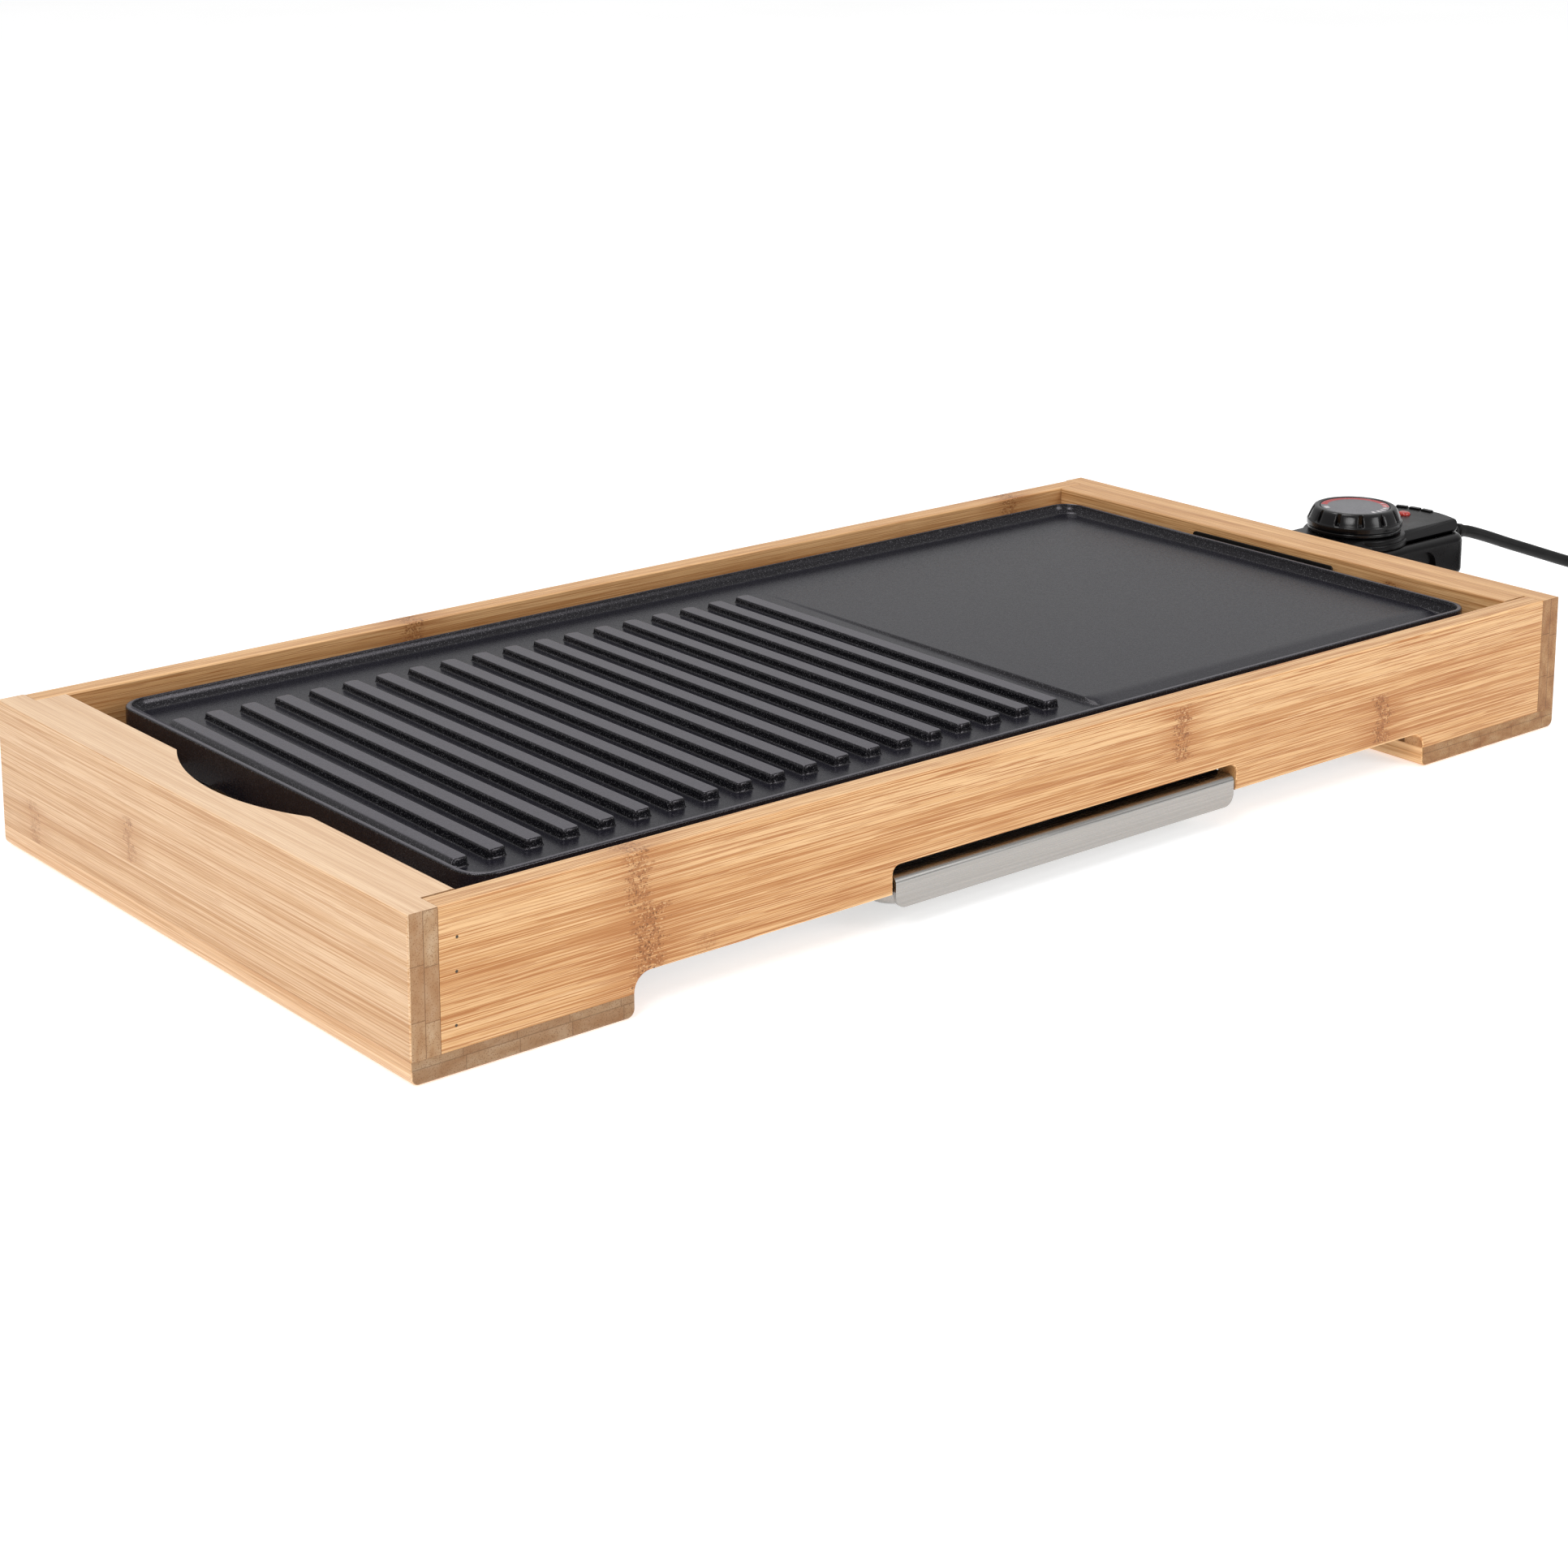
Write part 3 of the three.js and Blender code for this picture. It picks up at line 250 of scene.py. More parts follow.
    # end grain: dark vessel dots in a tan ground, with the glue lines between plies and staves
    end_dots = s.cells(s.join(0.0, across, deep), 1.7)
    end_fine = s.noise(s.join(0.0, across, deep), 2.4, 2.0, 0.6)
    end_large = s.noise(s.join(0.0, s.math("MULTIPLY", across, 0.12), s.math("MULTIPLY", deep, 0.25)), 1.0, 2.0)
    ground = s.ramp(end_large, [
        (0.30, scaled(dark, 0.95)), (0.52, scaled(middle, 0.92)), (0.72, scaled(light, 0.92))])
    dots = s.math("MULTIPLY", s.ease(end_dots, 0.46, 0.14), s.ease(end_fine, 0.36, 0.60, 0.5, 1.0))
    end_dark = (dark_red * 0.52, dark_green * 0.40, dark_blue * 0.28)
    end_color = s.mix(s.math("MULTIPLY", dots, 0.62 + 0.20 * end_contrast), ground, end_dark)
    end_color = s.mix(s.math("MULTIPLY", stave_tone, 0.40 * end_contrast), end_color, scaled(end_dark, 1.5))
    within_ply = s.math("FRACT", ply_place)
    within_stave = s.math("FRACT", stave_place)
    glue = s.math("MAXIMUM", s.ease(within_ply, 0.09, 0.03), s.ease(within_stave, 0.022, 0.008))
    end_color = s.mix(s.math("MULTIPLY", glue, 0.65 * end_contrast), end_color, scaled(end_dark, 0.7))
    end_color = s.mix(1.0, end_color, (end_share, end_share * 0.97, end_share * 0.92), "MULTIPLY")
    seam = s.math("MAXIMUM", s.ease(within_stave, 0.012, 0.004), s.ease(within_ply, 0.03, 0.01))
    color = s.mix(s.math("MULTIPLY", seam, 0.30), color, scaled(dark, 0.5))

    # painted light: faces that point upwards are painted paler than the sides, standing in for the light falling on
    # them from above
    upper = s.ease(normals["z"], 0.45, 0.90)
    color = s.mix(s.math("MULTIPLY", upper, painted_top_light), color, (0.93, 0.72, 0.52))
    for brad_along, brad_across in brads:
        offset = s.join(s.math("SUBTRACT", along, brad_along), s.math("SUBTRACT", across, brad_across), 0.0)
        away = s.node("VectorMath", {0: offset}, operation="LENGTH").outputs["Value"]
        color = s.mix(s.ease(away, BRAD_RADIUS + 0.15, BRAD_RADIUS - 0.10), color, (0.05, 0.035, 0.02))
    is_end = s.ease(s.math("ABSOLUTE", normals[grain]), 0.6, 0.85)
    base = s.mix(is_end, color, end_color)
    s.set(base=base, roughness=s.ease(fibres, 0.3, 0.7, 0.38, 0.52), normal=s.bump(height, 0.00012, 0.5))
    return s.material


HONEY = ((0.54, 0.248, 0.082), (0.755, 0.430, 0.184), (0.89, 0.585, 0.305))
PALE = ((0.61, 0.335, 0.154), (0.755, 0.475, 0.258), (0.87, 0.610, 0.384))
WARM = ((0.49, 0.224, 0.074), (0.69, 0.372, 0.150), (0.85, 0.515, 0.242))
TOP_SHEEN_FROM = (49.4, 50.2)  # heights in the row's frame between which the painted sheen on the rib and rim tops begins


def coating(name, speckle):
    """Non-stick coating on cast aluminium: near black with fine pale flecks and a slightly pebbled skin. Its steep
    faces are painted darker as painted shade, with painted glints on them; the tops of the ribs and of the rim are
    glossier and painted paler as a painted sheen."""
    s = Shader(name, tint=(0.97, 0.92, 1.0, 1.0))
    place = s.coordinates()
    height_now = s.math("MULTIPLY", s.split(place)[2], TO_MM)
    facing_up = s.split(s.coordinates("Normal"))[2]
    grains = s.noise(place, 2300.0, 2.0, 0.6)
    pebbles = s.noise(place, 900.0, 3.0, 0.6)
    wide = s.noise(place, 14.0, 3.0)
    painted_top_sheen = s.math("MULTIPLY", s.ease(height_now, *TOP_SHEEN_FROM), s.ease(facing_up, 0.75, 0.95))
    sloped = s.math("MULTIPLY", s.ease(facing_up, 0.985, 0.90), s.ease(facing_up, 0.03, 0.20))
    sparkle = s.ease(grains, 0.58, 0.68)
    color = s.ramp(wide, [(0.3, (0.0050, 0.0047, 0.0088)), (0.7, (0.0080, 0.0074, 0.0125))])
    # painted sheen: the upward faces of the rib and rim tops are painted paler, standing in for their brighter
    # reflection
    color = s.mix(s.math("MULTIPLY", painted_top_sheen, s.ease(pebbles, 0.3, 0.7, 0.6, 1.0)), color, (0.056, 0.051, 0.064))
    # painted shade: steep faces, such as the coves and the sides of the ribs, are painted darker
    color = s.mix(s.math("MULTIPLY", sloped, 0.8), color, (0.0026, 0.0025, 0.0028))
    # pale flecks all over the coating, with painted glints added on its sloped faces
    painted_glints_and_flecks = s.math("MULTIPLY", sparkle, s.math("ADD", s.math("MULTIPLY", sloped, 0.30 * speckle), 0.16 * speckle))
    color = s.mix(painted_glints_and_flecks, color, (0.23, 0.225, 0.24))
    rough = s.math("ADD", s.ease(pebbles, 0.3, 0.7, 0.17, 0.26), s.math("MULTIPLY", wide, 0.05))
    height = s.math("ADD", s.math("MULTIPLY", pebbles, 0.6), s.math("MULTIPLY", grains, 0.4))
    s.set(base=color, roughness=rough, specular=s.math("ADD", s.math("MULTIPLY", painted_top_sheen, 0.45), 0.36),
          normal=s.bump(height, 0.00009 * speckle, 0.7))
    return s.material


def plastic(name, color, roughness, grain=1.0, specular=0.16):
    """Moulded plastic with a fine spark-eroded grain and slightly worn, uneven gloss."""
    s = Shader(name, specular=specular)
    place = s.coordinates()
    fine = s.noise(place, 3200.0, 2.0, 0.6)
    wide = s.noise(place, 60.0, 3.0, 0.55)
    tint = s.ramp(wide, [(0.3, scaled(color, 0.85)), (0.7, scaled(color, 1.2))])
    facing_up = s.split(s.coordinates("Normal"))[2]
    s.set(base=tint, roughness=s.ease(wide, 0.3, 0.7, roughness - 0.05, roughness + 0.06),
          specular=s.ease(facing_up, 0.4, 0.95, specular * 0.65, specular * 1.5),
          normal=s.bump(fine, 0.00003 * grain, 0.5))
    return s.material


BRUSHED = (14.0, 2600.0, 2600.0)
SATIN = (900.0, 900.0, 900.0)
METAL_WEAR = 0.05


def metal(name, color, roughness, along=SATIN):
    """Metal with lines brushed along its x axis, or an even satin face."""
    s = Shader(name, metallic=1.0)
    x, y, z = s.split(s.coordinates())
    lines = s.noise(s.join(
        s.math("MULTIPLY", x, along[0]), s.math("MULTIPLY", y, along[1]), s.math("MULTIPLY", z, along[2])),
        1.0, 3.0, 0.6)
    wide = s.noise(s.coordinates(), 35.0, 3.0)
    tint = s.ramp(lines, [(0.3, scaled(color, 0.88)), (0.7, scaled(color, 1.06))])
    worn = s.ease(lines, 0.3, 0.7, roughness - METAL_WEAR, roughness + METAL_WEAR)
    rough = s.math("ADD", worn, s.math("MULTIPLY", wide, 0.08))
    s.set(base=tint, roughness=rough, normal=s.bump(lines, 0.00003, 0.6))
    return s.material


def ceramic(name, color):
    s = Shader(name, specular=0.4)
    place = s.coordinates()
    grains = s.noise(place, 1500.0, 3.0, 0.6)
    wide = s.noise(place, 80.0, 3.0)
    tint = s.ramp(wide, [(0.3, scaled(color, 0.88)), (0.7, color)])
    s.set(base=tint, roughness=s.ease(grains, 0.3, 0.7, 0.65, 0.85), normal=s.bump(grains, 0.00006, 0.6))
    return s.material


def cord_skin(name):
    """Soft PVC with a faint drawn texture."""
    s = Shader(name, specular=0.13)
    place = s.coordinates()
    fine = s.noise(place, 2400.0, 2.0)
    wide = s.noise(place, 90.0, 2.0)
    tint = s.ramp(wide, [(0.3, (0.005, 0.005, 0.005)), (0.7, (0.009, 0.0088, 0.009))])
    s.set(base=tint, roughness=s.ease(fine, 0.3, 0.7, 0.40, 0.50), normal=s.bump(fine, 0.00003, 0.5))
    return s.material


def lens_plastic(name):
    s = Shader(name, specular=0.6, coat=0.4, coat_roughness=0.08)
    wide = s.noise(s.coordinates(), 400.0, 2.0)
    tint = s.ramp(wide, [(0.3, (0.38, 0.014, 0.010)), (0.7, (0.56, 0.04, 0.025))])
    s.set(base=tint, roughness=s.ease(wide, 0.3, 0.7, 0.16, 0.24), normal=s.bump(wide, 0.00004, 0.4))
    return s.material


MAT = {
    "black": plastic("black_plastic", (0.0026, 0.0023, 0.0026), 0.26, 1.0, 0.22),
    "black_gloss": plastic("knob_plastic", (0.0038, 0.0035, 0.0040), 0.20, 0.5, 0.42),
    "coating": coating("cast_coating", 1.0),
    "stainless": metal("stainless", (0.38, 0.369, 0.354), 0.22, BRUSHED),
    "sheet": metal("sheet_steel", (0.50, 0.51, 0.52), 0.38),
    "zinc": metal("zinc_steel", (0.60, 0.61, 0.63), 0.32),
    "dark_steel": metal("black_steel", (0.035, 0.032, 0.030), 0.55),
    "sheath": metal("heater_sheath", (0.14, 0.12, 0.11), 0.50),
    "brass": metal("brass", (0.78, 0.56, 0.24), 0.30),
    "nickel": metal("plug_metal", (0.72, 0.71, 0.70), 0.16),
    "ceramic": ceramic("ceramic", (0.72, 0.68, 0.60)),
    "switch": plastic("switch_body", (0.09, 0.06, 0.035), 0.6),
    "rubber": plastic("rubber_pads", (0.016, 0.016, 0.016), 0.75, 2.0),
    "cord": cord_skin("cord_rubber"),
    "lens": lens_plastic("red_lens"),
}

BOARDS = {
    "front_board": bamboo(
        "bamboo_front", "x", "z", "y", HONEY, 0.37, 26.0, 9.8, -138.8, streaks=0.95,
        knuckles=((-240.0, 36.0, 60.0, 6.0, 0.8), (-236.0, 8.0, 37.0, 7.5, 1.0), (-211.0, 8.0, 22.0, 5.0, 0.35),
                  (10.5, 33.0, 54.0, 5.0, 1.0), (124.0, 16.0, 36.0, 5.5, 1.0)),
        brads=((-308.0, 44.9), (-308.4, 33.8), (-309.0, 16.4))),
    "rear_board": bamboo(
        "bamboo_rear", "x", "z", "y", WARM, 0.81, 26.0, 9.8, 129.0,
        knuckles=((-150.8, 36.0, 60.0, 6.0, 0.9), (177.7, 30.0, 60.0, 6.0, 0.9), (-20.0, 8.0, 34.0, 6.0, 0.7))),
    "left_end_board": bamboo(
        "bamboo_left", "y", "z", "x", PALE, 0.839, 18.0, 5.4, -325.6, end_share=0.57, painted_top_light=0.4, streaks=0.55,
        knuckles=((39.5, 22.0, 38.0, 4.0, 0.5), (112.5, 8.0, 24.0, 4.5, 0.4))),
    "right_end_board": bamboo(
        "bamboo_right", "y", "z", "x", WARM, 0.58, 18.0, 5.4, 212.7, end_share=0.57, streaks=0.6,
        knuckles=((-70.0, 30.0, 52.0, 5.0, 0.7), (75.0, 8.0, 30.0, 5.0, 0.8))),
    "left_foot_board": bamboo(
        "bamboo_left_foot", "y", "x", "z", PALE, 0.29, 20.0, 5.4, 0.3, end_share=0.46, end_contrast=0.8, streaks=0.45),
    "right_foot_board": bamboo(
        "bamboo_right_foot", "y", "x", "z", HONEY, 0.66, 20.0, 5.4, 0.3, end_share=0.50, end_contrast=0.8,
        streaks=0.45),
}


# ---------- CAD nodes that stay: welded, shaded smooth and given their materials ----------

WELD_WITHIN = 2e-6
SPLIT_ANGLE = math.radians(50.0)
NORMAL_WEIGHT = 80


def dress(node, material):
    """Give a CAD node its material, and smooth its shading except at its sharp edges."""
    o = NODES[node]
    mesh = o.data
    for attribute in [a for a in mesh.attributes if a.name == "custom_normal"]:
        mesh.attributes.remove(attribute)
    mesh.polygons.foreach_set("use_smooth", [True] * len(mesh.polygons))
    weld = o.modifiers.new("weld", "WELD")
    weld.merge_threshold = WELD_WITHIN
    split = o.modifiers.new("split", "EDGE_SPLIT")
    split.split_angle = SPLIT_ANGLE
    normals = o.modifiers.new("normals", "WEIGHTED_NORMAL")
    normals.weight = NORMAL_WEIGHT
    mesh.materials.clear()
    mesh.materials.append(material)


# material key: (slot, CAD nodes)
DRESS = {
    "rubber": ("rubber_pads", ["left_front_foot_pad", "left_rear_foot_pad", "right_front_foot_pad",
                               "right_rear_foot_pad"]),
    "sheet": ("sheet_steel", ["heat_shield", "left_tray_rail", "right_tray_rail"]),
    "zinc": ("zinc_steel", ["live_pin", "neutral_pin", "front_case_screw", "rear_case_screw", "temperature_probe",
                            "knob_shaft"]),
    "ceramic": ("ceramic", ["terminal_block"]),
    "dark_steel": ("black_steel", ["terminal_guard"]),
    "stainless": ("stainless", ["drip_tray_pan", "drip_tray_front"]),
    "black": ("black_plastic", ["thermostat_lower_case", "thermostat_lid"]),
    "lens": ("red_lens", ["indicator_lens"]),
    "switch": ("switch_body", ["thermostat_switch"]),
    "brass": ("brass", ["live_socket", "neutral_socket"]),
    "cord": ("cord_rubber", ["strain_relief", "plug_body"]),
    "nickel": ("plug_metal", ["plug_pin_live", "plug_pin_neutral"]),
}
for corner in ("left_front", "left_rear", "right_front", "right_rear"):
    DRESS["sheet"][1].extend([corner + "_plate_bracket", corner + "_heater_post"])
    DRESS["zinc"][1].extend([corner + "_spacer", corner + "_shield_screw"])
for board, material in BOARDS.items():
    dress(board, material)
for key, (slot_name, members) in DRESS.items():
    for member in members:
        dress(member, MAT[key])


# ---------- mesh helpers ----------

def finished(name, bm, material, body, smooth=True):
    """The mesh as an object that rides on its body, with its material."""
    bmesh.ops.recalc_face_normals(bm, faces=bm.faces)
    mesh = bpy.data.meshes.new(name)
    bm.to_mesh(mesh)
    bm.free()
    mesh.polygons.foreach_set("use_smooth", [smooth] * len(mesh.polygons))
    mesh.materials.append(material)
    o = bpy.data.objects.new(name, mesh)
    SCENE.collection.objects.link(o)
    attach(o, body)
    return o


def soft_step(t):
    t = min(1.0, max(0.0, t))
    return t * t * (3.0 - 2.0 * t)


def inside_distance(x, y, x0, y0, x1, y1, radius):
    """How far (x, y) is inside a rounded rectangle; negative outside."""
    qx = abs(x - (x0 + x1) / 2) - (x1 - x0) / 2 + radius
    qy = abs(y - (y0 + y1) / 2) - (y1 - y0) / 2 + radius
    return radius - math.hypot(max(qx, 0.0), max(qy, 0.0)) - min(max(qx, qy), 0.0)


# ---------- griddle plate ----------

# Millimetres from the middle of the surround, as in the CAD part. The floor and the ribs' tops fall to the front, at
# the slopes FLOOR_FALL and RIB["fall"]. RIB["half"] is half a rib's width.
PLATE = {"centre": 3.5, "half_length": 246.5, "half_width": 118.3, "corner": 11.0}
PLATE_BOTTOM = 38.0
PLATE_CEILING = 42.2
PLATE_RIM = 52.3
PLATE_FLOOR = 47.2
FLOOR_FALL = math.tan(0.009)
RIM_ROUND = 0.7  # radius of the rim's outer edge
RIM_FLAT_END = 1.6  # distances in from the plate's outline
RIM_INNER_END = 2.2
COVE_END = 6.2
COVE_HEIGHT = 5.0
RIB = {"count": 19, "pitch": 14.68, "first": -231.9, "front": -95.0, "rear": 92.5, "half": 4.1, "top": 50.1,
       "fall": 0.004, "corner": 2.4}
RIB_SIDE = 1.25
RIB_FILLET = (0.30, 0.20)  # where a rib's fillet ends: share of its side's width, share of its height
RIB_STEEP = (0.55, 0.84)  # where its steep side ends
PLATEAU = {"left": 46.3, "front": -106.5, "top": 48.1, "step": 2.0, "corner": 11.0, "margin": 3.0}


def rib_profile(inward):
    """The share of a rib's height at a distance in from its outline: fillet, steep side and rounded edge."""
    share = inward / RIB_SIDE
    if share <= 0.0:
        return 0.0
    if share >= 1.0:
        return 1.0
    fillet_end, fillet_top = RIB_FILLET
    steep_end, steep_top = RIB_STEEP
    if share < fillet_end:
        return fillet_top * (share / fillet_end) ** 2
    if share < steep_end:
        return fillet_top + (steep_top - fillet_top) * (share - fillet_end) / (steep_end - fillet_end)
    return 1.0 - (1.0 - steep_top) * ((1.0 - share) / (1.0 - steep_end)) ** 2


def floor_height(x, y):
    """The height inside the cove: the sloping floor, the raised flat half and the ribs."""
    z = PLATE_FLOOR + FLOOR_FALL * y
    right = PLATE["centre"] + PLATE["half_length"] - PLATEAU["margin"]
    rear = PLATE["half_width"] - PLATEAU["margin"]
    q = inside_distance(x, y, PLATEAU["left"], PLATEAU["front"], right, rear, PLATEAU["corner"])
    raised = z + (PLATEAU["top"] - z) * soft_step(q / PLATEAU["step"])
    z = max(z, raised)
    index = round((x - RIB["first"]) / RIB["pitch"])
    if 0 <= index < RIB["count"]:
        c = RIB["first"] + index * RIB["pitch"]
        q = inside_distance(x, y, c - RIB["half"], RIB["front"], c + RIB["half"], RIB["rear"], RIB["corner"])
        z += (RIB["top"] + RIB["fall"] * y - z) * rib_profile(q)
    return z


def plate_height(x, y, inset):
    """The height of the plate's upper face at a distance in from its outline: rim, cove, then floor."""
    if inset < RIM_ROUND:
        return PLATE_RIM - RIM_ROUND + math.sqrt(max(0.0, RIM_ROUND ** 2 - (RIM_ROUND - inset) ** 2))
    if inset < RIM_FLAT_END:
        return PLATE_RIM
    if inset < RIM_INNER_END:
        radius = RIM_INNER_END - RIM_FLAT_END
        return PLATE_RIM - radius + math.sqrt(max(0.0, radius ** 2 - (inset - RIM_FLAT_END) ** 2))
    z = floor_height(x, y)
    if inset < COVE_END:
        share = (COVE_END - inset) / (COVE_END - RIM_INNER_END)
        base = PLATE_FLOOR + FLOOR_FALL * y
        z = max(z, base + COVE_HEIGHT * (1.0 - math.sqrt(1.0 - min(1.0, share) ** 2)))
    return z


# Down the plate's outer side, under its foot and up into the hollow below its floor: (distance in, height).
PLATE_WALL = [
    (0.0, PLATE_RIM - 1.2), (0.0, 45.0), (0.0, PLATE_BOTTOM + 0.8), (0.1, PLATE_BOTTOM + 0.4),
    (0.35, PLATE_BOTTOM + 0.1), (0.8, PLATE_BOTTOM), (2.6, PLATE_BOTTOM), (3.0, PLATE_BOTTOM + 0.15),
    (3.2, PLATE_BOTTOM + 0.6), (3.2, PLATE_CEILING - 0.8), (3.5, PLATE_CEILING - 0.2), (4.1, PLATE_CEILING),
]

# Where the lines of the plate's grid lie: in from its edges, out from a rib's middle and in from its ends, from the
# flat half's left end, and evenly over what is left. Lines closer than LEAST_GAP are merged.
LEAST_GAP = 0.06
EDGE_LINES = [0, 0.12, 0.35, 0.7, 1.15, 1.6, 1.9, 2.1, 2.22, 2.3, 2.45, 2.7, 3.05, 3.5, 4.0, 4.6, 5.3, 6.2, 7.2, 8.4,
              9.7, 11.0]
RIB_LINES = (0.0, 1.5, 2.5, 2.8, 2.95, 3.08, 3.22, 3.38, 3.5, 3.6, 3.71, 3.82, 3.95, 4.1, 4.4)
RIB_END_LINES = (-0.4, 0.0, 0.15, 0.28, 0.39, 0.5, 0.6, 0.72, 0.88, 1.02, 1.15, 1.3, 1.6, 2.0, 2.5, 3.4)
STEP_LINES = (-0.3, 0.0, 0.4, 0.8, 1.2, 1.6, 2.0, 2.4, 5.0, 11.0)
FLAT_PITCH = 9.0
BODY_LINES = [-85.0 + 10.0 * i for i in range(18)]
MARGIN_LINES = [98.0, -100.0]


def merged_lines(*groups):
    """All the given positions in order, leaving out any that almost repeat."""
    lines = []
    for value in sorted(v for group in groups for v in group):
        if not lines or value - lines[-1] > LEAST_GAP:
            lines.append(value)
    return lines


def plate_lines():
    """The lines of the plate's grid along its length and its width, close together where its shape turns."""
    half_length, half_width, centre = PLATE["half_length"], PLATE["half_width"], PLATE["centre"]
    ribs = [RIB["first"] + i * RIB["pitch"] - centre + sign * d
            for i in range(RIB["count"]) for d in RIB_LINES for sign in (-1, 1)]
    step = [PLATEAU["left"] - centre + d for d in STEP_LINES]
    flat = [step[-1] + FLAT_PITCH * i for i in range(1, 20)]
    limit_u = half_length - EDGE_LINES[-1] - 0.1
    limit_v = half_width - EDGE_LINES[-1] - 0.1
    inner_u = [u for u in merged_lines(ribs, step, flat) if abs(u) < limit_u]
    ends = [RIB["front"] + d for d in RIB_END_LINES] + [RIB["rear"] - d for d in RIB_END_LINES]
    inner_v = [v for v in merged_lines(ends, BODY_LINES, MARGIN_LINES) if abs(v) < limit_v]
    edge_u = [half_length - e for e in EDGE_LINES]
    edge_v = [half_width - e for e in EDGE_LINES]
    return (merged_lines([-u for u in edge_u], inner_u, edge_u), merged_lines([-v for v in edge_v], inner_v, edge_v))


def plate_point(u, v, extra=0.0):
    """Where the grid corner (u, v) goes so that the plate's corners are round, and how far in it is. extra moves a
    point of the outer edge inwards."""
    radius = PLATE["corner"]
    a = abs(u) - (PLATE["half_length"] - radius)
    b = abs(v) - (PLATE["half_width"] - radius)
    su, sv = math.copysign(1.0, u), math.copysign(1.0, v)
    if a > 1e-9 and b > 1e-9:
        reach = max(a, b)
        turn = math.pi / 4 * (b / a) if a >= b else math.pi / 2 - math.pi / 4 * (a / b)
        reach_now = reach - extra
        x = su * (PLATE["half_length"] - radius + reach_now * math.cos(turn))
        y = sv * (PLATE["half_width"] - radius + reach_now * math.sin(turn))
        return x, y, radius - reach
    inset = min(PLATE["half_length"] - abs(u), PLATE["half_width"] - abs(v))
    if a > b:
        return su * (abs(u) - extra), v, inset
    return u, sv * (abs(v) - extra), inset


def griddle_plate():
    """The casting as one closed mesh: a grid for its upper face, its wall, and one face for the hollow's ceiling."""
    us, vs = plate_lines()
    bm = bmesh.new()
    grid = []
    for u in us:
        column = []
        for v in vs:
            x, y, inset = plate_point(u, v)
            x += PLATE["centre"]
            column.append(bm.verts.new(at(x, y, plate_height(x, y, inset))))
        grid.append(column)
    for i in range(len(us) - 1):
        for j in range(len(vs) - 1):
            bm.faces.new((grid[i][j], grid[i + 1][j], grid[i + 1][j + 1], grid[i][j + 1]))
    last_u, last_v = len(us) - 1, len(vs) - 1
    edge = [(i, 0) for i in range(last_u)] + [(last_u, j) for j in range(last_v)]
    edge += [(i, last_v) for i in range(last_u, 0, -1)] + [(0, j) for j in range(last_v, 0, -1)]
    ring = [grid[i][j] for i, j in edge]
    for extra, z in PLATE_WALL:
        level = []
        for i, j in edge:
            x, y, _ = plate_point(us[i], vs[j], extra)
            level.append(bm.verts.new(at(x + PLATE["centre"], y, z)))
        for k in range(len(ring)):
            following = (k + 1) % len(ring)
            bm.faces.new((ring[k], level[k], level[following], ring[following]))
        ring = level
    bm.faces.new(ring)
    o = finished("griddle_plate_casting", bm, MAT["coating"], "plate")
    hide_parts("griddle_plate")


griddle_plate()


# ---------- lathe ----------

def lathe(name, profile, centre, angles, material, body, radius_at=None):
    """A closed solid of revolution about a vertical line. profile is (radius, z) from the bottom axis point to the
    top axis point; radius_at(radius, z, angle) may change the radius."""
    bm = bmesh.new()
    bottom = bm.verts.new(at(*centre, profile[0][1]))
    top = bm.verts.new(at(*centre, profile[-1][1]))
    rings = []
    for radius, z in profile[1:-1]:
        ring = []
        for angle in angles:
            r = radius if radius_at is None else radius_at(radius, z, angle)
            ring.append(bm.verts.new(at(centre[0] + r * math.cos(angle), centre[1] + r * math.sin(angle), z)))
        rings.append(ring)
    count = len(angles)
    for lower, upper in zip(rings, rings[1:]):
        for k in range(count):
            bm.faces.new((lower[k], lower[(k + 1) % count], upper[(k + 1) % count], upper[k]))
    for k in range(count):
        bm.faces.new((bottom, rings[0][(k + 1) % count], rings[0][k]))
        bm.faces.new((top, rings[-1][k], rings[-1][(k + 1) % count]))
    return finished(name, bm, material, body)


def even_angles(count):
    return [2.0 * math.pi * k / count for k in range(count)]


# ---------- control knob and dial ----------

KNOB_X = 315.2
NOTCHES = 12
NOTCH_PHASE = 0.6
NOTCH_FLOOR = 18.0
NOTCH_LOW = 57.2
NOTCH_FOOT = 0.5  # height over which a notch runs out at its foot
NOTCH_HALF_DEGREES = 3.4
NOTCH_SIDE_DEGREES = 1.0
NOTCH_LINES = (-4.2, -3.2, -2.8, -2.5, -2.2, -1.8, 1.8, 2.2, 2.5, 2.8, 3.2, 4.2, 7.5, 11.0, 15.0, 19.0, 22.5)


def knob_angles():
    step = 2.0 * math.pi / NOTCHES
    return [step * (i + NOTCH_PHASE) + math.radians(d) for i in range(NOTCHES) for d in NOTCH_LINES]


def notched(radius, z, angle):
    step = 2.0 * math.pi / NOTCHES
    off = abs((angle / step - NOTCH_PHASE + 0.5) % 1.0 - 0.5) * 360.0 / NOTCHES
    depth = soft_step((NOTCH_HALF_DEGREES - off) / NOTCH_SIDE_DEGREES)
    depth *= soft_step((z - NOTCH_LOW) / NOTCH_FOOT + 0.5)
    if radius <= NOTCH_FLOOR or depth <= 0.0:
        return radius
    return radius + (NOTCH_FLOOR - radius) * depth


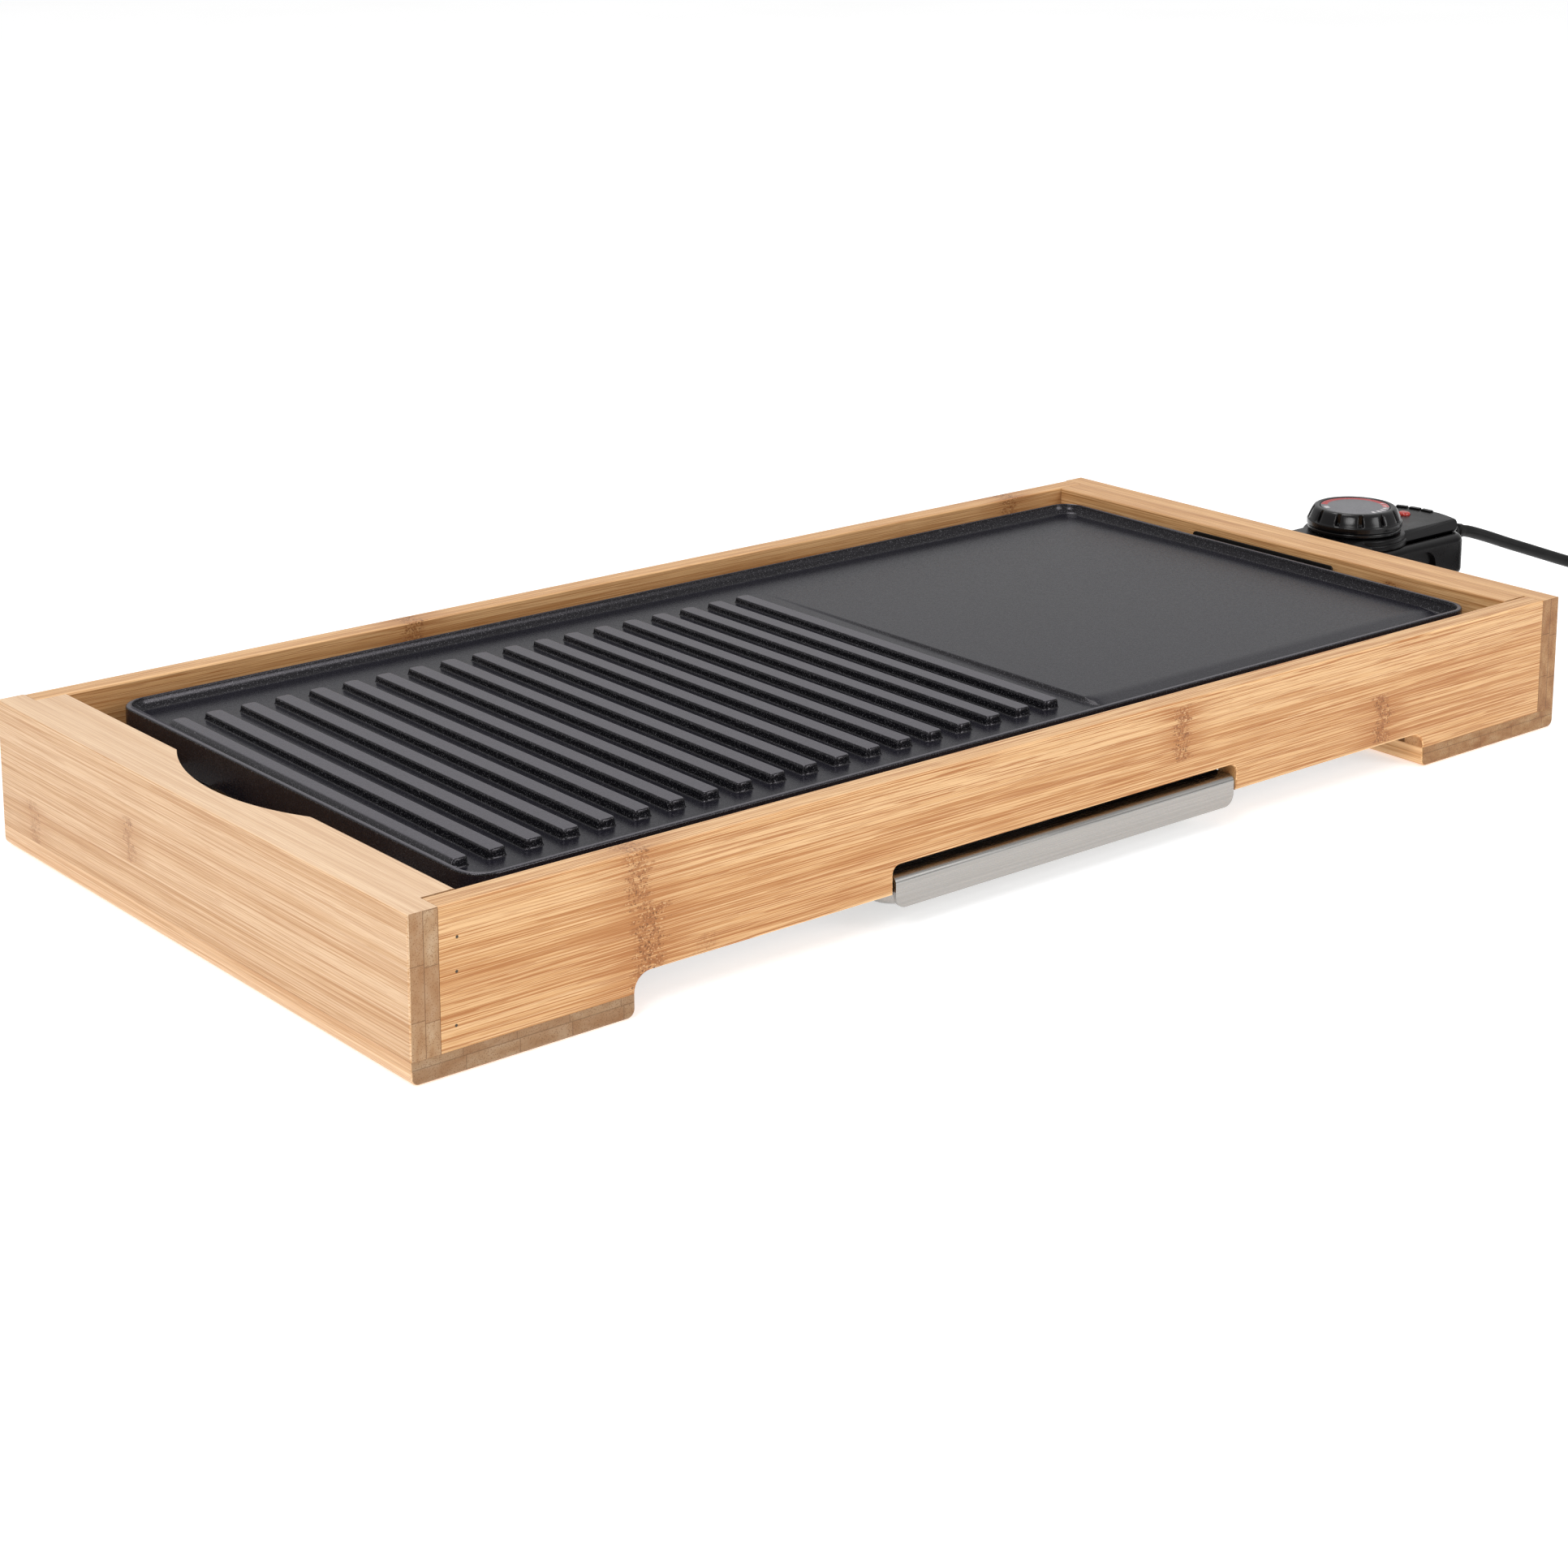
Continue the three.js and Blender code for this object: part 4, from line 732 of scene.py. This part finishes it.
# (radius, height) from the middle of the knob's underside, up its side, to the middle of the recess in its top
KNOB_PROFILE = [
    (0.0, 52.0), (20.3, 52.0), (20.7, 52.1), (20.9, 52.4), (20.9, 53.3), (20.85, 53.6), (20.7, 53.82), (20.4, 53.95),
    (20.4, 54.1), (20.9, 54.12), (21.15, 54.2), (21.28, 54.4), (21.3, 54.7), (21.3, 56.3), (21.25, 56.6),
    (21.05, 56.9), (20.85, 57.1), (20.7, 57.4), (20.5, 58.2), (19.75, 59.8), (19.1, 61.2), (18.85, 61.6),
    (18.5, 62.05), (18.15, 62.35), (17.7, 62.53), (17.2, 62.6), (16.4, 62.56), (15.95, 62.45), (15.75, 62.2),
    (15.7, 61.8), (0.0, 61.8),
]
knob = lathe("knob_grip", KNOB_PROFILE, (KNOB_X, 0.0), knob_angles(), MAT["black_gloss"], "knob",
             notched)
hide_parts("control_knob")


def dial_material():
    """The printed dial: a finely turned grey face with a heat scale around its edge. The scale is red, with pale
    strokes at its hot end and one pale mark at off."""
    s = Shader("dial_face", specular=0.4)
    x, y, _ = s.split(s.coordinates())
    x = s.math("SUBTRACT", s.math("MULTIPLY", x, TO_MM), KNOB_X + ORIGIN.x)
    y = s.math("MULTIPLY", y, TO_MM)
    radius = s.math("SQRT", s.math("ADD", s.math("MULTIPLY", x, x), s.math("MULTIPLY", y, y)))
    angle = s.math("ARCTAN2", y, x)
    turned_lines = s.math("SINE", s.math("MULTIPLY", radius, 26.0))
    dots = s.cells(s.join(x, y, 0.0), 2.2)
    face = s.ramp(dots, [(0.15, (0.125, 0.123, 0.130)), (0.55, (0.230, 0.227, 0.240))])

    def sector(middle, half):
        away = s.math("ABSOLUTE", s.math("SUBTRACT", angle, middle))
        return s.ease(away, half + 0.04, half - 0.04)

    ring = s.math("MULTIPLY", s.ease(radius, 12.2, 12.5), s.ease(radius, 15.3, 15.0))
    strokes = s.math("SINE", s.math("MULTIPLY", angle, 27.0))
    rows = s.math("SINE", s.math("MULTIPLY", radius, 2.9))
    patches = s.noise(s.join(x, y, 0.0), 1.1, 2.0)
    red = s.mix(s.ease(patches, 0.45, 0.62, 0.0, 0.35), (0.50, 0.045, 0.050), (0.62, 0.30, 0.30))
    color = s.mix(s.math("MULTIPLY", ring, sector(0.66, 1.58)), face, red)
    pale = s.math("MULTIPLY", ring, s.math("MULTIPLY", s.ease(strokes, -0.2, 0.5), s.ease(rows, -0.8, 0.4, 0.4, 1.0)))
    hot_end = s.math("MAXIMUM", sector(-1.42, 0.52), s.math("MULTIPLY", sector(-0.62, 0.34), 0.7))
    color = s.mix(s.math("MULTIPLY", pale, hot_end), color, (0.80, 0.76, 0.76))
    off_mark = s.math("MULTIPLY", s.math("MULTIPLY", ring, sector(2.62, 0.13)), s.ease(radius, 14.6, 14.3))
    color = s.mix(off_mark, color, (0.62, 0.61, 0.61))
    height = s.math("ADD", s.math("MULTIPLY", turned_lines, 0.4), dots)
    s.set(base=color, roughness=s.ease(dots, 0.1, 0.6, 0.34, 0.46), normal=s.bump(height, 0.00003, 0.4))
    return s.material


MAT["dial"] = dial_material()
dial = lathe("dial_plate", [(0.0, 61.9), (15.2, 61.9), (15.4, 62.0), (15.4, 62.3), (15.25, 62.42), (0.0, 62.45)],
             (KNOB_X, 0.0), even_angles(96), MAT["dial"], "knob")
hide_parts("dial_disc")


# ---------- power cord ----------

CORD_RADIUS = 2.8
# down from the strain relief to the table and along it to the coil
CORD_ROUTE = [
    (392.6, 0, 38.3), (397.5, 0, 37.2), (405, -0.1, 34.8), (413, -0.2, 32.0), (428.5, -0.4, 26.3),
    (444.5, -0.8, 20.6), (459, -1.2, 15.4), (472, -1.8, 10.8), (484, -3.5, 6.8), (497, -7.5, 3.8),
    (507.5, -14.5, 2.8), (515, -24, 2.6), (518.9, -35, 2.6), (519.35, -47, 2.6), (517.6, -60, 2.6),
]
# from the coil up into the plug
TAIL_ROUTE = [(463, -122.5, 8.2), (455, -122.5, 10.2), (446, -122.5, 14), (438, -122.5, 17.1), (430.7, -122.5, 17.8)]
COIL_CENTRE = (470.0, -77.0)
COIL_START = math.atan2(5.0, 45.6)
COIL_SETTLE = 0.5  # turns in which the cord comes in to the outer turn, and goes out from it
COIL_WIND = 2.0  # turns from the outer to the inner one, in each layer
COIL_CLIMB = (COIL_START + math.pi / 2) / (2.0 * math.pi)  # turns in which it climbs to the upper layer
COIL_TURNS = 2.0 * (COIL_SETTLE + COIL_WIND) + COIL_CLIMB
COIL_LAYERS = (2.6, 8.7)
TURN_RADII = (45.87, 39.2, 27.1, 45.5)  # where the cord meets the coil, the outer turn, the inner turn, the exit


def coil_point(turn):
    """The cord's centre after so many turns: in, up to the second layer, and out again."""
    meet, outer, inner, leave = TURN_RADII
    low, high = COIL_LAYERS
    climb_from = COIL_SETTLE + COIL_WIND
    climb_to = climb_from + COIL_CLIMB
    if turn < COIL_SETTLE:
        radius, z = meet + (outer - meet) * soft_step(turn / COIL_SETTLE), low
    elif turn < climb_from:
        radius, z = outer + (inner - outer) * (turn - COIL_SETTLE) / COIL_WIND, low
    elif turn < climb_to:
        radius, z = inner, low + (high - low) * soft_step((turn - climb_from) / COIL_CLIMB)
    elif turn < climb_to + COIL_WIND:
        radius, z = inner + (outer - inner) * (turn - climb_to) / COIL_WIND, high
    else:
        radius, z = outer + (leave - outer) * soft_step((turn - climb_to - COIL_WIND) / COIL_SETTLE), high
    angle = COIL_START - 2.0 * math.pi * turn
    return (COIL_CENTRE[0] + radius * math.cos(angle), COIL_CENTRE[1] + radius * math.sin(angle), z)


COIL_STEPS = 24  # points in a turn
coil_points = [coil_point(k / COIL_STEPS) for k in range(int(COIL_TURNS * COIL_STEPS) + 1)] + [coil_point(COIL_TURNS)]
cord_points = [at(*p) for p in CORD_ROUTE + coil_points + TAIL_ROUTE]


def tube(name, stops, radius, material, steps, sides):
    """A round tube along a curve. stops are (place, handle before it, handle after it), and radius is in metres."""
    data = bpy.data.curves.new(name, "CURVE")
    data.dimensions = "3D"
    data.resolution_u = steps
    data.bevel_depth = radius
    data.bevel_resolution = sides
    data.use_fill_caps = True
    spline = data.splines.new("BEZIER")
    spline.bezier_points.add(len(stops) - 1)
    for point, (place, handle_before, handle_after) in zip(spline.bezier_points, stops):
        point.handle_left_type = point.handle_right_type = "FREE"
        point.co = place
        point.handle_left = handle_before
        point.handle_right = handle_after
    data.materials.append(material)
    o = bpy.data.objects.new(name, data)
    SCENE.collection.objects.link(o)
    return o


def smooth_stops(points):
    """Stops for a smooth curve through the points."""
    stops = []
    for i, place in enumerate(points):
        before, after = points[max(0, i - 1)], points[min(len(points) - 1, i + 1)]
        direction = (after - before).normalized()
        stops.append((place, place - direction * (place - before).length / 3.0,
                      place + direction * (after - place).length / 3.0))
    return stops


cord = tube("mains_cord", smooth_stops(cord_points), CORD_RADIUS * MM, MAT["cord"], 6, 6)
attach(cord, "thermostat")
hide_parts("power_cord", "cord_coil", "cord_tail")


# ---------- heater tube ----------

HEATER = {"radius": 3.5, "z": 33.5, "left": -205.0, "right": 214.0, "half_width": 82.0, "bend": 26.0,
          "terminal_y": 12.0, "turn_in": 9.0, "start": 232.9}
STRAIGHT_HANDLE = 0.5


def heater_tube():
    """The sheathed tube as a curve with round bends: one loop under the plate, with both ends in the block."""
    radius, z, left, right, half_width, bend, terminal_y, turn_in, start = HEATER.values()
    corners = [((right, terminal_y), turn_in), ((right, half_width), bend), ((left, half_width), bend),
               ((left, -half_width), bend), ((right, -half_width), bend), ((right, -terminal_y), turn_in)]
    route = [Vector((start, terminal_y))] + [Vector(place) for place, _ in corners] + [Vector((start, -terminal_y))]
    stops = [(route[0], route[0], route[0])]
    for before, corner, after, (_, size) in zip(route, route[1:], route[2:], corners):
        back = (before - corner).normalized()
        on = (after - corner).normalized()
        entry = corner + back * size
        leave = corner + on * size
        stops.append((entry, entry + back * STRAIGHT_HANDLE, entry.lerp(corner, 2 / 3)))
        stops.append((leave, leave.lerp(corner, 2 / 3), leave + on * STRAIGHT_HANDLE))
    stops.append((route[-1], route[-1], route[-1]))
    stops = [tuple(at(*place, z) for place in stop) for stop in stops]
    o = tube("heater_tube", stops, radius * MM, MAT["sheath"], 10, 5)
    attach(o, "base")
    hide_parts("heating_element")


heater_tube()


# ---------- coil tie ----------

TIE_ANGLE = math.radians(118.0)
TIE_HALF_WIDTH = 4.0
TIE_THICKNESS = 0.5
TIE_FLAT = 0.94  # share of its width that is flat on its outer side
TIE_CORNER_STEPS = 6


def coil_tie():
    """A soft strap around the coil's turns, on the side away from the plug."""
    outward = Vector((math.cos(TIE_ANGLE), math.sin(TIE_ANGLE), 0.0))
    sideways = Vector((-math.sin(TIE_ANGLE), math.cos(TIE_ANGLE), 0.0))
    centre = Vector((*COIL_CENTRE, 0.0))
    inner, outer, low, high, corner = 23.4, 42.9, -0.42, 12.3, 3.0
    section = []
    for cx, cz, start in ((outer - corner, high - corner, 0.0), (inner + corner, high - corner, 90.0),
                          (inner + corner, low + corner, 180.0), (outer - corner, low + corner, 270.0)):
        for k in range(TIE_CORNER_STEPS + 1):
            a = math.radians(start + 90.0 * k / TIE_CORNER_STEPS)
            section.append((cx + corner * math.cos(a), cz + corner * math.sin(a), math.cos(a), math.sin(a)))
    bm = bmesh.new()
    loops = []
    for r, z, nr, nz in section:
        loop = []
        for side, depth in ((-1.0, TIE_THICKNESS), (-TIE_FLAT, 0.0), (TIE_FLAT, 0.0), (1.0, TIE_THICKNESS)):
            place = centre + outward * (r - nr * depth) + sideways * (side * TIE_HALF_WIDTH)
            place.z = max(low, z - nz * depth)
            loop.append(bm.verts.new(at(*place)))
        loops.append(loop)
    for a, b in zip(loops, loops[1:] + loops[:1]):
        for k in range(len(a)):
            following = (k + 1) % len(a)
            bm.faces.new((a[k], a[following], b[following], b[k]))
    return finished("coil_tie", bm, MAT["rubber"], "thermostat", smooth=False)


tie = coil_tie()


# ---------- floor, light ----------

FLOOR_RADIUS = 14.0
FLOOR_GLOW = 0.50
WORLD_STRENGTH = 0.55
SOFTBOXES = [  # name, place, diameter, power; each faces the middle of the row
    ("key", (-1.9, -1.1, 1.8), 1.0, 25.0),
    ("fill", (0.9, -2.4, 1.3), 1.2, 24.0),
    ("top", (0.1, 0.8, 2.5), 1.2, 16.0),
]


def studio():
    mesh = bpy.data.meshes.new("floor")
    bm = bmesh.new()
    bmesh.ops.create_circle(bm, cap_ends=True, radius=FLOOR_RADIUS, segments=96)
    bm.to_mesh(mesh)
    bm.free()
    s = Shader("floor_paint", specular=0.1)
    wide = s.noise(s.coordinates(), 3.0, 2.0)
    s.set(base=s.ramp(wide, [(0.3, (0.80, 0.80, 0.80)), (0.7, (0.83, 0.83, 0.83))]), roughness=0.9,
          emission=(1.0, 1.0, 1.0, 1.0), glow=FLOOR_GLOW)
    mesh.materials.append(s.material)
    floor = bpy.data.objects.new("floor", mesh)
    SCENE.collection.objects.link(floor)

    world = bpy.data.worlds.new("studio")
    world.use_nodes = True
    background = world.node_tree.nodes["Background"]
    background.inputs["Color"].default_value = (1.0, 1.0, 1.0, 1.0)
    background.inputs["Strength"].default_value = WORLD_STRENGTH
    SCENE.world = world

    for name, place, size, power in SOFTBOXES:
        data = bpy.data.lights.new(name, "AREA")
        data.shape = "DISK"
        data.size = size
        data.energy = power
        o = bpy.data.objects.new(name, data)
        o.location = place
        o.rotation_mode = "QUATERNION"
        o.rotation_quaternion = (-Vector(place)).to_track_quat("-Z", "Y")
        SCENE.collection.objects.link(o)


studio()
SCENE.view_settings.view_transform = "Standard"
